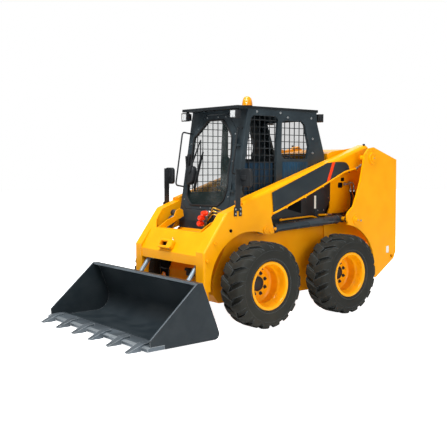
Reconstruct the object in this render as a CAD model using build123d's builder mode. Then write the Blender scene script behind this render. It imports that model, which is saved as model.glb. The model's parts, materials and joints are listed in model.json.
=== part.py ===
"""Skid steer loader: lifting boom, toothed bucket, four driven wheels, caged cab.

Millimetres.  X points to the machine's left, Y to its rear, Z up.  Stations along the
machine are given from the middle of the wheelbase; the planes below shift them so that the
row's origin lies on the ground under the middle of the machine's bounding box.
"""
from build123d import *
import math
import os

os.makedirs("parts", exist_ok=True)

# ---------------------------------------------------------------- driving sizes
# Running gear
wheelbase = 1125
tyre_r = 408            # 12-16.5 tyre, to the tips of its lugs
tyre_width = 300
tyre_mid_x = 725.5      # from the centre plane to the middle of the tyre
lug_height = 24
lug_count = 18          # on each side of the tread
lug_width = 64
lug_slant = 24          # degrees
rim_r = 230             # over the flange
rim_seat_r = 208
rim_wall = 9
bead_half = 117         # half the width between the rim's flanges
hub_r = 70
axle_tube_r = 78
wheel_gap = 1.0         # between what turns and what stays

# Chassis tub
chassis_half = 428
chassis_front = -908
chassis_rear = 1150
chassis_shelf = -690     # front of the tub's rim, under the cab
chassis_floor = 215
chassis_top = 880
chassis_wall = 12

# Towers that carry the boom
tower_outer = 720       # outer face of the outer plate
tower_plate = 20
tower_inner = 442       # outer face of the inner plate
tower_inner_plate = 12
tower_rear_top = 1456
tower_rear_low = 1476
tower_top = 1717
rear_arch_y, rear_arch_z, rear_arch_r = 601, 398, 512     # opening round the rear tyre
tie_y, tie_z, tie_r = 1398, 522, 20    # tie-down hole in each outer plate

# Boom
pivot_y, pivot_z = 1047, 1601
pivot_pin_r = 32
arm_outer = 568
arm_inner = 450
arm_plate = 18
arm_round, leg_round = 38, 20     # outer edges along the top, and down the front
front_arch_r = 489
beam_tip = (-665, 1187)
beam_end = (1122, 1745)
leg_front = -1131
bend_y, bend_z = -870, 1078
knee_z = 730
shoulder_y, shoulder_z = -656, 1152
lift_eye_y, lift_eye_z = -362, 897
lift_base_y, lift_base_z = 790, 953
lift_x = 508
lift_barrel_r = 44
lift_rod_r = 24
lift_barrel_length = 1000
lift_eye_r = 40
lift_eye_half = 27
cross_front = -1126
cross_low = 606
cross_knee = 692
cross_top = 897
cross_plate = 12

# Coupler and bucket
foot_y, foot_z = -1095, 205         # pin between boom and coupler
foot_r = 52
foot_pin_r = 22
narrow_top = 368          # the boom's feet are narrow below this
tilt_x = 395
tilt_base_y, tilt_base_z = -735, 1030
tilt_eye_y, tilt_eye_z = -1211, 415
tilt_barrel_r = 42
tilt_rod_r = 21
tilt_barrel_length = 540
tilt_eye_r = 34
tilt_eye_half = 22
tilt_plate = [(-1006, 890), (-985, 912), (-878, 975), (-806, 1000), (-780, 1060), (-735, 1080), (-695, 1064),
              (-685, 1000), (-925, 884)]
bucket_half = 881
bucket_wall = 12
bucket_back_low = (-1201, 70)
bucket_back_top = (-1387, 524)
bucket_lip_top = (-1442, 527)
bucket_floor_z = 12
edge_rear, edge_front = -1788, -1958
edge_top = 49
edge_bevel, edge_nose = 29, 38      # length of the edge's bevel, and the height it falls to
tooth_rear = -1872
bucket_cheek_front = (-1931, 101)
tooth_tip = -2085
tooth_count = 6
tooth_margin = 126       # from the bucket's side to the middle of the end tooth
tooth_pitch = 2 * (bucket_half - tooth_margin) / (tooth_count - 1)
coupler_half = 545
coupler_plate = 30
seat_gap = 0.3          # between faces that rest on each other
run_gap = 6             # beside swinging eyes and ears

# Hinges
hinge_pin_r = 8
hinge_sleeve_r = 14
hinge_fit = 0.05
door_hinge_x = 340
door_hinge_out = 16      # hinge axis in front of the leaning face
door_hinge_ups = (20, 470)
rear_hinge_x = 427
rear_hinge_y = 1455
rear_hinge_zs = (800, 1300)
hood_hinge_y, hood_hinge_z = 672, 1630

# Cab
cab_half = 438
cab_wall = 28
cab_floor_plate = 6
cab_floor_z = chassis_top + 0.3     # the cab rests on the tub
cab_sill_z = 1140       # foot of the door opening
cab_roof_z = 2070       # underside of the roof plate
roof_plate = 28
roof_front, roof_rear = -621, 489
roof_half = 440
cab_face_y, cab_face_z = -617, 1269   # a point on the leaning front face
cab_lean_slope = 0.165
cab_lean = math.degrees(math.atan(cab_lean_slope))
cab_low_front = -667
cab_rear_low = 592
cab_rear_knee_z = 1640
mesh_pitch = 69
mesh_bar = 7
glass = 6

bumper_rear = tower_rear_low + 24
middle_y = (tooth_tip + bumper_rear) / 2     # middle of the bounding box


# ---------------------------------------------------------------- planes and small tools
def side_plane(x):
    """Upright plane across the machine at x: its axes are Y and Z, it faces +X."""
    return Plane(origin=(x, -middle_y, 0), x_dir=(0, 1, 0), z_dir=(1, 0, 0))


def front_plane(y):
    """Upright plane along X at station y: its axes are X and Z, it faces the front."""
    return Plane(origin=(0, y - middle_y, 0), x_dir=(1, 0, 0), z_dir=(0, -1, 0))


def level_plane(z):
    """Level plane at height z: its axes are X and Y."""
    return Plane(origin=(0, -middle_y, z), x_dir=(1, 0, 0), z_dir=(0, 0, 1))


def outline(plane, points):
    """Face inside a closed polyline drawn on a plane."""
    with BuildSketch(plane) as face:
        with BuildLine():
            Polyline(*points, close=True)
        make_face()
    return face.sketch


def round_face(plane, radius):
    """Round face about a plane's origin."""
    with BuildSketch(plane) as face:
        Circle(radius)
    return face.sketch


def slab(points, x0, x1, mode=Mode.ADD):
    """Plate or block with the side outline (y, z), from x0 to x1."""
    extrude(outline(side_plane(x0), points), amount=x1 - x0, mode=mode)


def block(x0, x1, y0, y1, z0, z1, mode=Mode.ADD):
    """Straight block between six faces."""
    slab([(y0, z0), (y1, z0), (y1, z1), (y0, z1)], x0, x1, mode)


def disc(y, z, radius, x0, x1, mode=Mode.ADD):
    """Round bar or hole along X."""
    with BuildSketch(side_plane(x0)) as face:
        with Locations((y, z)):
            Circle(radius)
    extrude(face.sketch, amount=x1 - x0, mode=mode)


def along(start, end, radius, length, x, offset=0, mode=Mode.ADD):
    """Round bar at x that starts offset past start (y, z) and points at end (y, z)."""
    run = math.dist(start, end)
    ty, tz = (end[0] - start[0]) / run, (end[1] - start[1]) / run
    origin = (x, start[0] - middle_y + ty * offset, start[1] + tz * offset)
    with BuildSketch(Plane(origin=origin, x_dir=(1, 0, 0), z_dir=(0, ty, tz))) as face:
        Circle(radius)
    extrude(face.sketch, amount=length, mode=mode)


def save(part, name):
    """Label a finished piece and write its STEP file."""
    part.label = name
    export_step(part, f"parts/{name}.step")


def both_sides():
    """Repeat what has been built on the other side of the machine."""
    mirror(about=Plane.YZ)


# ---------------------------------------------------------------- wheels
front_axle = -wheelbase / 2
rear_axle = wheelbase / 2
tread_r = tyre_r - lug_height
half_width = tyre_width / 2

# The tyre's section from bead to bead: (distance from its middle plane, radius)
tyre_section = [(-bead_half, rim_seat_r + seat_gap), (-bead_half, rim_r + 3), (-half_width + 12, 262),
                (-half_width, 312), (-half_width + 8, 352), (-116, tread_r - 4), (116, tread_r - 4),
                (half_width - 8, 352), (half_width, 312), (half_width - 12, 262),
                (bead_half, rim_r + 3), (bead_half, rim_seat_r + seat_gap)]
# One lug, from the middle of the tread over the shoulder: same axes
lug_section = [(-12, tyre_r + 20), (160, tyre_r + 20), (160, 356), (132, 344),
               (104, tread_r - 12), (-12, tread_r - 12)]
# What the tips of the lugs lie in
tip_section = [(-half_width + 3, 340), (-half_width + 3, 358), (-122, tyre_r - 9), (-95, tyre_r),
               (95, tyre_r), (122, tyre_r - 9), (half_width - 3, 358), (half_width - 3, 340)]

with BuildPart() as lugs:
    lug = extrude(outline(Plane.XY, lug_section), amount=lug_width / 2, both=True, mode=Mode.PRIVATE)
    slanted = lug.rotate(Axis.Y, lug_slant)
    for index in range(lug_count):
        turn = 360 / lug_count * index
        add(slanted.rotate(Axis.X, turn))
        add(slanted.mirror(Plane.YZ).rotate(Axis.X, turn + 180 / lug_count))
    revolve(outline(Plane.XY, tip_section), axis=Axis.X, mode=Mode.INTERSECT)

with BuildPart() as tyre_left:
    revolve(outline(Plane.XY, tyre_section), axis=Axis.X)
    add(lugs.part)

tyre_right = mirror(tyre_left.part, about=Plane.YZ)

# The rim's section: a deep dish, its disc set inwards: (distance from middle plane, radius)
flange = bead_half + 0.5
rim_section = [(-flange, rim_seat_r), (-flange, rim_r - 2), (-flange - 5, rim_r), (-flange - 11, rim_r - 4),
               (-flange - 8, rim_seat_r - rim_wall), (-86, rim_seat_r - rim_wall), (-70, 178),
               (72, 178), (88, rim_seat_r - rim_wall), (flange + 8, rim_seat_r - rim_wall),
               (flange + 11, rim_r - 4), (flange + 5, rim_r), (flange, rim_r - 2), (flange, rim_seat_r),
               (80, rim_seat_r), (66, 187), (-64, 187), (-78, rim_seat_r)]
disc_face = -62          # outer face of the wheel disc, from the tyre's middle plane
disc_plate = 12
dish_r = 181
stud_circle_r = 103
stud_r = 12              # over the corners of a stud's nut
stud_length = 14
stud_count = 8

with BuildPart() as rim_left:
    revolve(outline(Plane.XY, rim_section), axis=Axis.X)
    dish = Plane(origin=(disc_face - disc_plate, 0, 0), x_dir=(0, 1, 0), z_dir=(1, 0, 0))
    with BuildSketch(dish) as plate:
        Circle(dish_r)
        Circle(hub_r + wheel_gap, mode=Mode.SUBTRACT)
    extrude(plate.sketch, amount=disc_plate)
    with BuildSketch(dish.offset(disc_plate)) as studs:
        with PolarLocations(stud_circle_r, stud_count):
            RegularPolygon(radius=stud_r, side_count=6)
    extrude(studs.sketch, amount=stud_length)

wheels = [("front_left", 1, front_axle), ("front_right", -1, front_axle),
          ("rear_left", 1, rear_axle), ("rear_right", -1, rear_axle)]
rim_right = mirror(rim_left.part, about=Plane.YZ)
for corner, side, axle_y in wheels:
    spot = Location((side * tyre_mid_x, axle_y - middle_y, tyre_r))
    tyre = tyre_left.part if side > 0 else tyre_right
    rim = rim_left.part if side > 0 else rim_right
    save(tyre.moved(spot), f"tyre_{corner}")
    save(rim.moved(spot), f"rim_{corner}")

# ---------------------------------------------------------------- axles
hub_nose = 12            # how far the hub shows in front of the wheel's disc
hub_start, hub_end = tyre_mid_x - 90, tyre_mid_x + disc_face + hub_nose
with BuildPart() as axles:
    for axle_y in (front_axle, rear_axle):
        disc(axle_y, tyre_r, axle_tube_r, chassis_half, hub_start)
        disc(axle_y, tyre_r, stud_circle_r + 24, hub_start, hub_end - hub_nose - disc_plate - seat_gap)
        disc(axle_y, tyre_r, hub_r, hub_start, hub_end)
    both_sides()
save(axles.part, "axles")

# ---------------------------------------------------------------- chassis tub
tub = [(chassis_front, 300), (chassis_front + 70, chassis_floor), (chassis_rear - 90, chassis_floor),
       (chassis_rear, 300), (chassis_rear, chassis_top), (chassis_shelf, chassis_top),
       (chassis_front, 480)]
tub_inside = [(chassis_front + chassis_wall, 300 + chassis_wall / 2),
              (chassis_front + 70 + chassis_wall / 2, chassis_floor + chassis_wall),
              (chassis_rear - 90 - chassis_wall / 2, chassis_floor + chassis_wall),
              (chassis_rear - chassis_wall, 300 + chassis_wall / 2),
              (chassis_rear - chassis_wall, chassis_top + chassis_wall),
              (chassis_shelf + 2 * chassis_wall, chassis_top + chassis_wall),
              (chassis_shelf + chassis_wall, chassis_top - chassis_wall),
              (chassis_front + chassis_wall, 480 - chassis_wall / 2)]
with BuildPart() as chassis:
    slab(tub, -chassis_half, chassis_half)
    slab(tub_inside, -chassis_half + chassis_wall, chassis_half - chassis_wall, Mode.SUBTRACT)
save(chassis.part, "chassis_tub")

# ---------------------------------------------------------------- towers
outer_plate = [(1063, tower_top), (985, 1705), (919, 1643), (854, 1360), (804, 1226), (746, 1095),
               (672, 1040), (650, 1000), (650, 955), (668, 920), (668, 860),
               (1080, 480), (1115, 317), (1137, 305), (1441, 494), (tower_rear_low, 571),
               (tower_rear_top, 1586)]
inner_plate = [(700, 1668), (640, 1640), (690, 1370), (690, 1080), (600, 900), (600, 640),
               (1150, 640), (1400, 640), (1420, 1560), (1120, 1722)]
with BuildPart() as tower:
    slab(outer_plate, tower_outer - tower_plate, tower_outer)
    disc(rear_arch_y, rear_arch_z, rear_arch_r, tower_outer - tower_plate, tower_outer, Mode.SUBTRACT)
    disc(tie_y, tie_z, tie_r, tower_outer - tower_plate, tower_outer, Mode.SUBTRACT)
    slab(inner_plate, tower_inner - tower_inner_plate, tower_inner)
    # rear post and the floor between the plates
    block(tower_inner - tower_inner_plate, tower_outer, 1380, 1400, 660, 1560)
    block(tower_inner - tower_inner_plate, tower_outer, 1130, 1400, 640, 660)
    disc(pivot_y, pivot_z, 70, tower_outer, tower_outer + 8)
    disc(pivot_y, pivot_z, pivot_pin_r, tower_inner - tower_inner_plate, tower_outer + 14)
    disc(lift_base_y, lift_base_z, 24, tower_inner - tower_inner_plate, tower_outer + 20)
    disc(lift_base_y, lift_base_z, 48, tower_outer, tower_outer + 12)
    disc(lift_base_y, lift_base_z, 34, tower_outer - tower_plate - 110, tower_outer - tower_plate)
    # trunnion of the hood
    disc(hood_hinge_y, hood_hinge_z, hinge_pin_r, tower_inner - tower_inner_plate - 20, tower_inner)
tower_right = mirror(tower.part, about=Plane.YZ)
with BuildPart() as tower_left:
    add(tower.part)
    # feet and pins of the rear door's hinges
    foot_x0 = tower_inner - tower_inner_plate
    for z in rear_hinge_zs:
        block(foot_x0 + 3, tower_inner, 1390, rear_hinge_y, z - 32, z - 12)
        block(rear_hinge_x - hinge_pin_r, tower_inner, rear_hinge_y - hinge_pin_r,
              rear_hinge_y + hinge_pin_r, z - 32, z - 12)
        spot = (rear_hinge_x, rear_hinge_y - middle_y, z - 20)
        extrude(round_face(Plane(origin=spot), hinge_pin_r), amount=76)
save(tower_left.part, "tower_left")
save(tower_right, "tower_right")

# ---------------------------------------------------------------- rear bumper, rear door, hood
bumper_outline = [(1150.3, 330), (1300, 430), (1440, 500), (1470, 520), (bumper_rear, 560),
                  (bumper_rear, 610), (tower_rear_low + 4, 635), (1404, 635), (1150.3, 635)]
with BuildPart() as bumper:
    slab(bumper_outline, -(tower_outer - tower_plate - seat_gap), tower_outer - tower_plate - seat_gap)
    # room behind the tie-down holes in the towers
    for side in (-1, 1):
        low, high = sorted((side * 630, side * 710))
        block(low, high, tie_y - 45, tie_y + 45, 400, tie_z + 45, Mode.SUBTRACT)
save(bumper.part, "rear_bumper")

door_gap = 6
rear_door_half = tower_inner - tower_inner_plate - door_gap
with BuildPart() as rear_door:
    block(-rear_door_half, rear_door_half, 1400, 1440, 645, 1500)
    for row in range(9):
        z = 1010 + row * 46
        block(-300, 300, 1428, 1440, z, z + 22, Mode.SUBTRACT)
    for z in rear_hinge_zs:
        spot = (rear_hinge_x, rear_hinge_y - middle_y, z)
        extrude(round_face(Plane(origin=spot), hinge_sleeve_r), amount=60)
        block(rear_hinge_x - 45, rear_hinge_x, 1439, rear_hinge_y, z, z + 60)
        extrude(round_face(Plane(origin=spot), hinge_pin_r + hinge_fit), amount=60, mode=Mode.SUBTRACT)
save(rear_door.part, "rear_door")

hood_wall = 12
hood_outline = [(660, 1650), (1120, 1700), (1395, 1560), (1395, 1515), (660, 1515)]
hood_inside = [(672, 1620), (1115, 1672), (1383, 1540), (1383, 1500), (672, 1500)]
with BuildPart() as hood:
    slab(hood_outline, -rear_door_half, rear_door_half)
    slab(hood_inside, -rear_door_half + hood_wall, rear_door_half - hood_wall, Mode.SUBTRACT)
    disc(hood_hinge_y, hood_hinge_z, hinge_pin_r + hinge_fit, -500, 500, Mode.SUBTRACT)
save(hood.part, "engine_hood")

with BuildPart() as engine:
    block(-280, 280, 620, 1040, chassis_floor + chassis_wall + seat_gap, 1300)
save(engine.part, "engine_block")

# ---------------------------------------------------------------- boom
arm_side = [beam_tip, beam_end, (1160, 1700), (1160, 1560), (1075, 1520), (1000, 1510),
            (782, 1447), (-264, 1055), (-294, 1020), (-247, 870), (-300, 850),
            (-562, 870), (-1000, 500), (-1046, 409), (-1040, 300), (foot_y + foot_r, foot_z),
            (foot_y, foot_z - foot_r), (leg_front - 12, foot_z), (leg_front, 330), (leg_front, knee_z),
            (bend_y, bend_z), (shoulder_y, shoulder_z)]
pocket = [(-440, 780), (-200, 780), (-200, 1025), (-276, 1025), (-440, 975)]


top_run = [(beam_tip, beam_end)]
front_runs = [((leg_front, 330), (leg_front, knee_z)), ((leg_front, knee_z), (bend_y, bend_z)),
              ((bend_y, bend_z), (shoulder_y, shoulder_z))]


def on_runs(point, runs):
    """True at the middle of one of some runs of the boom's outline."""
    y, z = point.Y + middle_y, point.Z
    return any(abs(y - (a[0] + b[0]) / 2) < 2 and abs(z - (a[1] + b[1]) / 2) < 2 for a, b in runs)


with BuildPart() as arm:
    slab(arm_side, arm_inner, arm_outer)
    # rounded outer edges along the top and the front
    for runs, radius in ((top_run, arm_round), (front_runs, leg_round)):
        outer_edges = arm.faces().sort_by(Axis.X)[-1].edges()
        fillet(outer_edges.filter_by(lambda edge: on_runs(edge.center(), runs)), radius=radius)
    disc(front_axle, tyre_r, front_arch_r, arm_inner, arm_outer, Mode.SUBTRACT)
    # pocket for the eye of the lift cylinder, open behind and below
    slab(pocket, arm_inner + arm_plate, arm_outer - arm_plate, Mode.SUBTRACT)
    # narrow foot between the coupler's ears
    block(arm_inner - 5, arm_inner + 32, leg_front - 60, -1000, 100, narrow_top, Mode.SUBTRACT)
    block(arm_outer - 32, arm_outer + 5, leg_front - 60, -1000, 100, narrow_top, Mode.SUBTRACT)
    disc(foot_y, foot_z, foot_pin_r + 0.05, 400, 620, Mode.SUBTRACT)
    disc(pivot_y, pivot_z, pivot_pin_r + 0.05, 400, 620, Mode.SUBTRACT)
    for y, z, r in ((-1089, 658, 16), (-997, 811, 16), (lift_eye_y, lift_eye_z, 34), (-290, 882, 24)):
        disc(y, z, r, arm_outer, arm_outer + 8)
    disc(-813, 917, 15, arm_inner, arm_outer + 8, Mode.SUBTRACT)
save(arm.part, "boom_arm_left")
save(mirror(arm.part, about=Plane.YZ), "boom_arm_right")

# bent plate across the front of the boom, with a gusset at each top corner, a short socket
# on its sloping face, and the inner plates that carry the bases of the tilt cylinders
def slope_line(z):
    """Station of the boom's sloping front at height z."""
    return leg_front + (z - knee_z) * (bend_y - leg_front) / (bend_z - knee_z)


cross_half = arm_inner - seat_gap
cross_side = [(cross_front, cross_low), (cross_front, cross_knee), (slope_line(cross_top), cross_top),
              (slope_line(cross_top) + 70, cross_top), (slope_line(cross_top) + 70, cross_top - cross_plate),
              (slope_line(cross_top) + 12, cross_top - cross_plate),
              (cross_front + cross_plate, cross_knee - 4), (cross_front + cross_plate, cross_low)]
slope_turn = math.atan2(bend_y - leg_front, bend_z - knee_z)
socket_z, socket_x = 752, -70
socket_out = 40
bracket_y, bracket_plate = -835, 10
bracket_face = [(tilt_x - 56, 935), (tilt_x - 56, 985), (tilt_x - 63, 988), (tilt_x - 63, 1085), (316, 1102),
                (275, 1102), (212, 1010), (206, 950), (222, 935)]
cross_slope = math.atan2(slope_line(cross_top) - cross_front, cross_top - cross_knee)
with BuildPart() as crossmember:
    slab(cross_side, -cross_half, cross_half)
    # gussets lie in the boom's sloping front
    gusset_origin = (0, slope_line(cross_top) - middle_y, cross_top)
    gusset_plane = Plane(origin=gusset_origin, x_dir=(1, 0, 0),
                         z_dir=(0, -math.cos(slope_turn), math.sin(slope_turn)))
    up = 1 / math.cos(slope_turn)
    for side in (-1, 1):
        corner = [(side * cross_half, -3), (side * 370, -3), (side * 442, 70 * up),
                  (side * cross_half, 120 * up)]
        extrude(outline(gusset_plane, corner), amount=-cross_plate)
    # socket for a prop
    socket_y = cross_front + (socket_z - cross_knee) * math.tan(cross_slope)
    socket_plane = Plane(origin=(socket_x, socket_y - middle_y, socket_z), x_dir=(1, 0, 0),
                         z_dir=(0, -math.cos(cross_slope), math.sin(cross_slope)))
    with BuildSketch(socket_plane) as socket:
        Rectangle(130, 64)
        Rectangle(114, 48, mode=Mode.SUBTRACT)
    extrude(socket.sketch, amount=socket_out)
    extrude(socket.sketch, amount=-cross_plate / 2)
    for side in (-1, 1):
        low, high = sorted((side * (tilt_x - 62), side * (tilt_x - 50)))
        slab(tilt_plate, low, high)
    # bracket for the auxiliary couplers, on the left plate
    extrude(outline(front_plane(bracket_y), bracket_face), amount=bracket_plate)
save(crossmember.part, "boom_crossmember")

with BuildPart() as tilt_pins:
    disc(tilt_base_y, tilt_base_z, 19.95, tilt_x - 50 + seat_gap, cross_half)
    disc(tilt_base_y, tilt_base_z, 34, tilt_x + tilt_eye_half + run_gap, cross_half)
    both_sides()
save(tilt_pins.part, "tilt_cylinder_pins")

# ---------------------------------------------------------------- cylinders
lift_base = (lift_base_y, lift_base_z)
lift_eye = (lift_eye_y, lift_eye_z)
tilt_base = (tilt_base_y, tilt_base_z)
tilt_eye = (tilt_eye_y, tilt_eye_z)
rod_fit = 0.05


def barrel(base, eye, x, radius, length, rod_r, eye_r, eye_half, pin_r, travel_start):
    """Cylinder barrel that starts in an eye round its base pin and is bored for its rod."""
    along(base, eye, radius, length - 60, x, 60)
    along(base, eye, eye_half - 3, 70, x)
    disc(base[0], base[1], eye_r, x - eye_half, x + eye_half)
    disc(base[0], base[1], pin_r, x - 100, x + 100, Mode.SUBTRACT)
    along(base, eye, rod_r + rod_fit, length, x, travel_start, Mode.SUBTRACT)


def rod(base, eye, x, radius, start, eye_r, eye_half, pin_half):
    """Piston rod from inside the barrel to its eye, with the pin in the eye."""
    along(base, eye, radius, math.dist(base, eye) - start, x, start)
    disc(eye[0], eye[1], eye_r, x - eye_half, x + eye_half)
    disc(eye[0], eye[1], radius, x - pin_half, x + pin_half)


with BuildPart() as lift_barrels:
    barrel(lift_base, lift_eye, lift_x, lift_barrel_r, lift_barrel_length, lift_rod_r,
           lift_eye_r, lift_eye_half, 24.05, 70)
    both_sides()
save(lift_barrels.part, "lift_barrels")

with BuildPart() as lift_rods:
    rod(lift_base, lift_eye, lift_x, lift_rod_r, 90, lift_eye_r, lift_eye_half, lift_eye_half + 8)
    both_sides()
save(lift_rods.part, "lift_rods")

with BuildPart() as tilt_barrels:
    barrel(tilt_base, tilt_eye, tilt_x, tilt_barrel_r, tilt_barrel_length, tilt_rod_r,
           tilt_eye_r, tilt_eye_half, 20, 70)
    both_sides()
save(tilt_barrels.part, "tilt_barrels")

with BuildPart() as tilt_rods:
    rod(tilt_base, tilt_eye, tilt_x, tilt_rod_r, 190, tilt_eye_r, tilt_eye_half, tilt_eye_half + 5)
    both_sides()
save(tilt_rods.part, "tilt_rods")

# ---------------------------------------------------------------- coupler
back_run = math.dist(bucket_back_low, bucket_back_top)
back_t = ((bucket_back_top[0] - bucket_back_low[0]) / back_run,
          (bucket_back_top[1] - bucket_back_low[1]) / back_run)
back_n = (back_t[1], -back_t[0])        # out of the bucket's back, to the rear


def on_back(up, out):
    """Point (y, z) that lies up the bucket's back and out from it."""
    return (bucket_back_low[0] + up * back_t[0] + out * back_n[0],
            bucket_back_low[1] + up * back_t[1] + out * back_n[1])


ear_foot = [on_back(10, coupler_plate - 2), (foot_y + 8, foot_z - 48), (foot_y + 46, foot_z - 18),
            (foot_y + 48, foot_z + 16), (foot_y + 18, foot_z + 48), on_back(300, coupler_plate - 2)]
ear_tilt = [on_back(190, coupler_plate - 2), (tilt_eye_y + 10, tilt_eye_z - 44),
            (tilt_eye_y + 42, tilt_eye_z - 10), (tilt_eye_y + 36, tilt_eye_z + 26),
            (tilt_eye_y, tilt_eye_z + 44), on_back(430, coupler_plate - 2)]
tilt_gap = tilt_eye_half + 10
foot_half = (arm_outer - arm_inner) / 2 - 32
foot_x = (arm_outer + arm_inner) / 2
with BuildPart() as coupler:
    slab([on_back(6, seat_gap), on_back(452, seat_gap), on_back(452, coupler_plate),
          on_back(6, coupler_plate)], -coupler_half, coupler_half)
    # slots that the eyes of the tilt rods swing into, and the open middle
    for x in (-tilt_x, tilt_x):
        slab([on_back(240, -5), on_back(425, -5), on_back(425, 60), on_back(240, 60)],
             x - tilt_gap, x + tilt_gap, Mode.SUBTRACT)
    slab([on_back(90, -5), on_back(390, -5), on_back(390, 60), on_back(90, 60)], -300, 300, Mode.SUBTRACT)
    for side in (-1, 1):
        for x in (foot_x - foot_half - run_gap - 18, foot_x + foot_half + run_gap):
            low, high = sorted((side * x, side * (x + 18)))
            slab(ear_foot, low, high)
        for x in (tilt_x - tilt_gap - 16, tilt_x + tilt_gap):
            low, high = sorted((side * x, side * (x + 16)))
            slab(ear_tilt, low, high)
        low, high = sorted((side * (foot_x - foot_half - 24), side * (foot_x + foot_half + 24)))
        disc(foot_y, foot_z, foot_pin_r, low, high)
save(coupler.part, "coupler")

# ---------------------------------------------------------------- bucket
heel_corner = (-1178, bucket_floor_z)
rolled_r = 150          # inside of the rolled plate between back and floor
heel_r = 48             # heel of the side plates
inner_corner = (heel_corner[0] - bucket_wall * 1.49, bucket_floor_z + bucket_wall)
shell_out = [heel_corner, bucket_back_top, bucket_lip_top, (bucket_lip_top[0] - 6, bucket_lip_top[1] - 19),
             (bucket_lip_top[0] + 42, bucket_lip_top[1] - 27), on_back(440, -bucket_wall), inner_corner,
             (edge_rear, bucket_floor_z + bucket_wall), (edge_rear, bucket_floor_z)]
cheek = [heel_corner, bucket_back_top, bucket_lip_top, bucket_cheek_front, (bucket_cheek_front[0] + 4, 49.3),
         (edge_rear + 1, 49.3), (edge_rear + 1, bucket_floor_z)]
side_plate = 16


def rounded(points, corners):
    """Side outline (y, z) with some corners rounded: ((y, z), radius)."""
    with BuildSketch(side_plane(0)) as face:
        with BuildLine():
            Polyline(*points, close=True)
        make_face()
        for (y, z), radius in corners:
            spot = Vector(0, y - middle_y, z)
            fillet(face.vertices().sort_by(lambda v: (Vector(*v) - spot).length)[0], radius)
    return face.sketch


with BuildPart() as bucket:
    shell = rounded(shell_out, [(heel_corner, rolled_r + bucket_wall), (inner_corner, rolled_r)])
    extrude(shell, amount=bucket_half - side_plate / 2, both=True)
    plate = rounded(cheek, [(heel_corner, heel_r)])
    for side in (-1, 1):
        start = bucket_half - side_plate if side > 0 else -bucket_half
        with Locations((start, 0, 0)):
            add(extrude(plate, amount=side_plate, mode=Mode.PRIVATE))
save(bucket.part, "bucket_shell")

edge_low = bucket_floor_z + 1
edge_side = [(edge_rear, edge_low), (edge_rear, edge_top), (edge_front + edge_bevel, edge_top),
             (edge_front, edge_nose), (edge_front, edge_low)]
with BuildPart() as edge:
    slab([(y - seat_gap, z) for y, z in edge_side], -bucket_half, bucket_half)
save(edge.part, "cutting_edge")

# a tooth lies on the edge, hooks over its front and runs out to its tip
tooth_side = [(tooth_rear, edge_top + seat_gap), (tooth_rear, 70), (-1940, 66), (tooth_tip, 10),
              (tooth_tip, 1), (-2000, 1), (edge_front - 2 * seat_gap, 6),
              (edge_front - 2 * seat_gap, edge_nose + seat_gap),
              (edge_front + edge_bevel, edge_top + seat_gap)]
tooth_half, tooth_tip_half = 37, 23
with BuildPart() as teeth:
    for index in range(tooth_count):
        x = (index - (tooth_count - 1) / 2) * tooth_pitch
        slab(tooth_side, x - tooth_half, x + tooth_half)
        for side in (-1, 1):
            # sides that draw in towards the tip
            with BuildSketch(level_plane(0)) as shaved:
                with BuildLine():
                    Polyline((x + side * (tooth_half + 5), edge_front),
                             (x + side * tooth_half, edge_front),
                             (x + side * tooth_tip_half, tooth_tip),
                             (x + side * tooth_tip_half, tooth_tip - 5),
                             (x + side * (tooth_half + 5), tooth_tip - 5), close=True)
                make_face()
            extrude(shaved.sketch, amount=100, mode=Mode.SUBTRACT)
save(teeth.part, "bucket_teeth")

# ---------------------------------------------------------------- cab
def face_y(z):
    """Station of the leaning front face at height z."""
    return cab_face_y + (z - cab_face_z) * cab_lean_slope


cab_side = [(cab_low_front, cab_floor_z), (cab_low_front, 960), (face_y(cab_sill_z), cab_sill_z),
            (face_y(cab_roof_z), cab_roof_z), (470, cab_roof_z), (474, 1975),
            (cab_rear_low, cab_rear_knee_z), (cab_rear_low, 1420), (540, 1320), (540, cab_floor_z)]
cab_inside = [(cab_low_front + cab_wall, cab_floor_z + cab_floor_plate), (cab_low_front + cab_wall, 960),
              (face_y(cab_sill_z) + cab_wall, cab_sill_z), (face_y(cab_roof_z) + cab_wall, cab_roof_z + 5),
              (470 - cab_wall, cab_roof_z + 5), (474 - cab_wall, 1975),
              (cab_rear_low - cab_wall, cab_rear_knee_z), (cab_rear_low - cab_wall, 1420),
              (540 - cab_wall, 1320), (540 - cab_wall, cab_floor_z + cab_floor_plate)]
front_window = [(-562, 1290), (-448, 1980), (-412, 2010), (-110, 2010), (-80, 1975), (-105, 1500),
                (-105, 1240), (-535, 1240)]
rear_window = [(-30, 1955), (0, 1972), (262, 1972), (300, 1940), (365, 1715), (335, 1591),
               (0, 1591), (-35, 1626)]
back_light_half, back_light_low, back_light_high = 310, 1590, 1985     # window in the cab's back
# door leaf on the leaning face: (x, distance up the face from its reference point)
door_leaf = [(-412, -150), (-412, 560), (-330, 640), (-200, 772), (150, 772), (335, 580), (335, -140),
             (285, -190), (-362, -190)]
door_window = [(-272, -155), (-350, -75), (-352, 545), (-262, 612), (-150, 716), (96, 716),
               (254, 551), (278, 373), (272, 159), (286, 40), (250, -90), (165, -148)]


def face_plane(out):
    """The cab's leaning front face, moved outwards."""
    lean = math.radians(cab_lean)
    normal = (0, -math.cos(lean), math.sin(lean))
    origin = (0, cab_face_y - middle_y + normal[1] * out, cab_face_z + normal[2] * out)
    return Plane(origin=origin, x_dir=(1, 0, 0), z_dir=normal)


def hinge_plane(up):
    """Plane across the door's hinge axis: its axes are X and the way into the cab."""
    lean = math.radians(cab_lean)
    y = cab_face_y - middle_y - math.cos(lean) * door_hinge_out + math.sin(lean) * up
    z = cab_face_z + math.sin(lean) * door_hinge_out + math.cos(lean) * up
    return Plane(origin=(door_hinge_x, y, z), x_dir=(1, 0, 0), z_dir=(0, math.sin(lean), math.cos(lean)))


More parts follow.
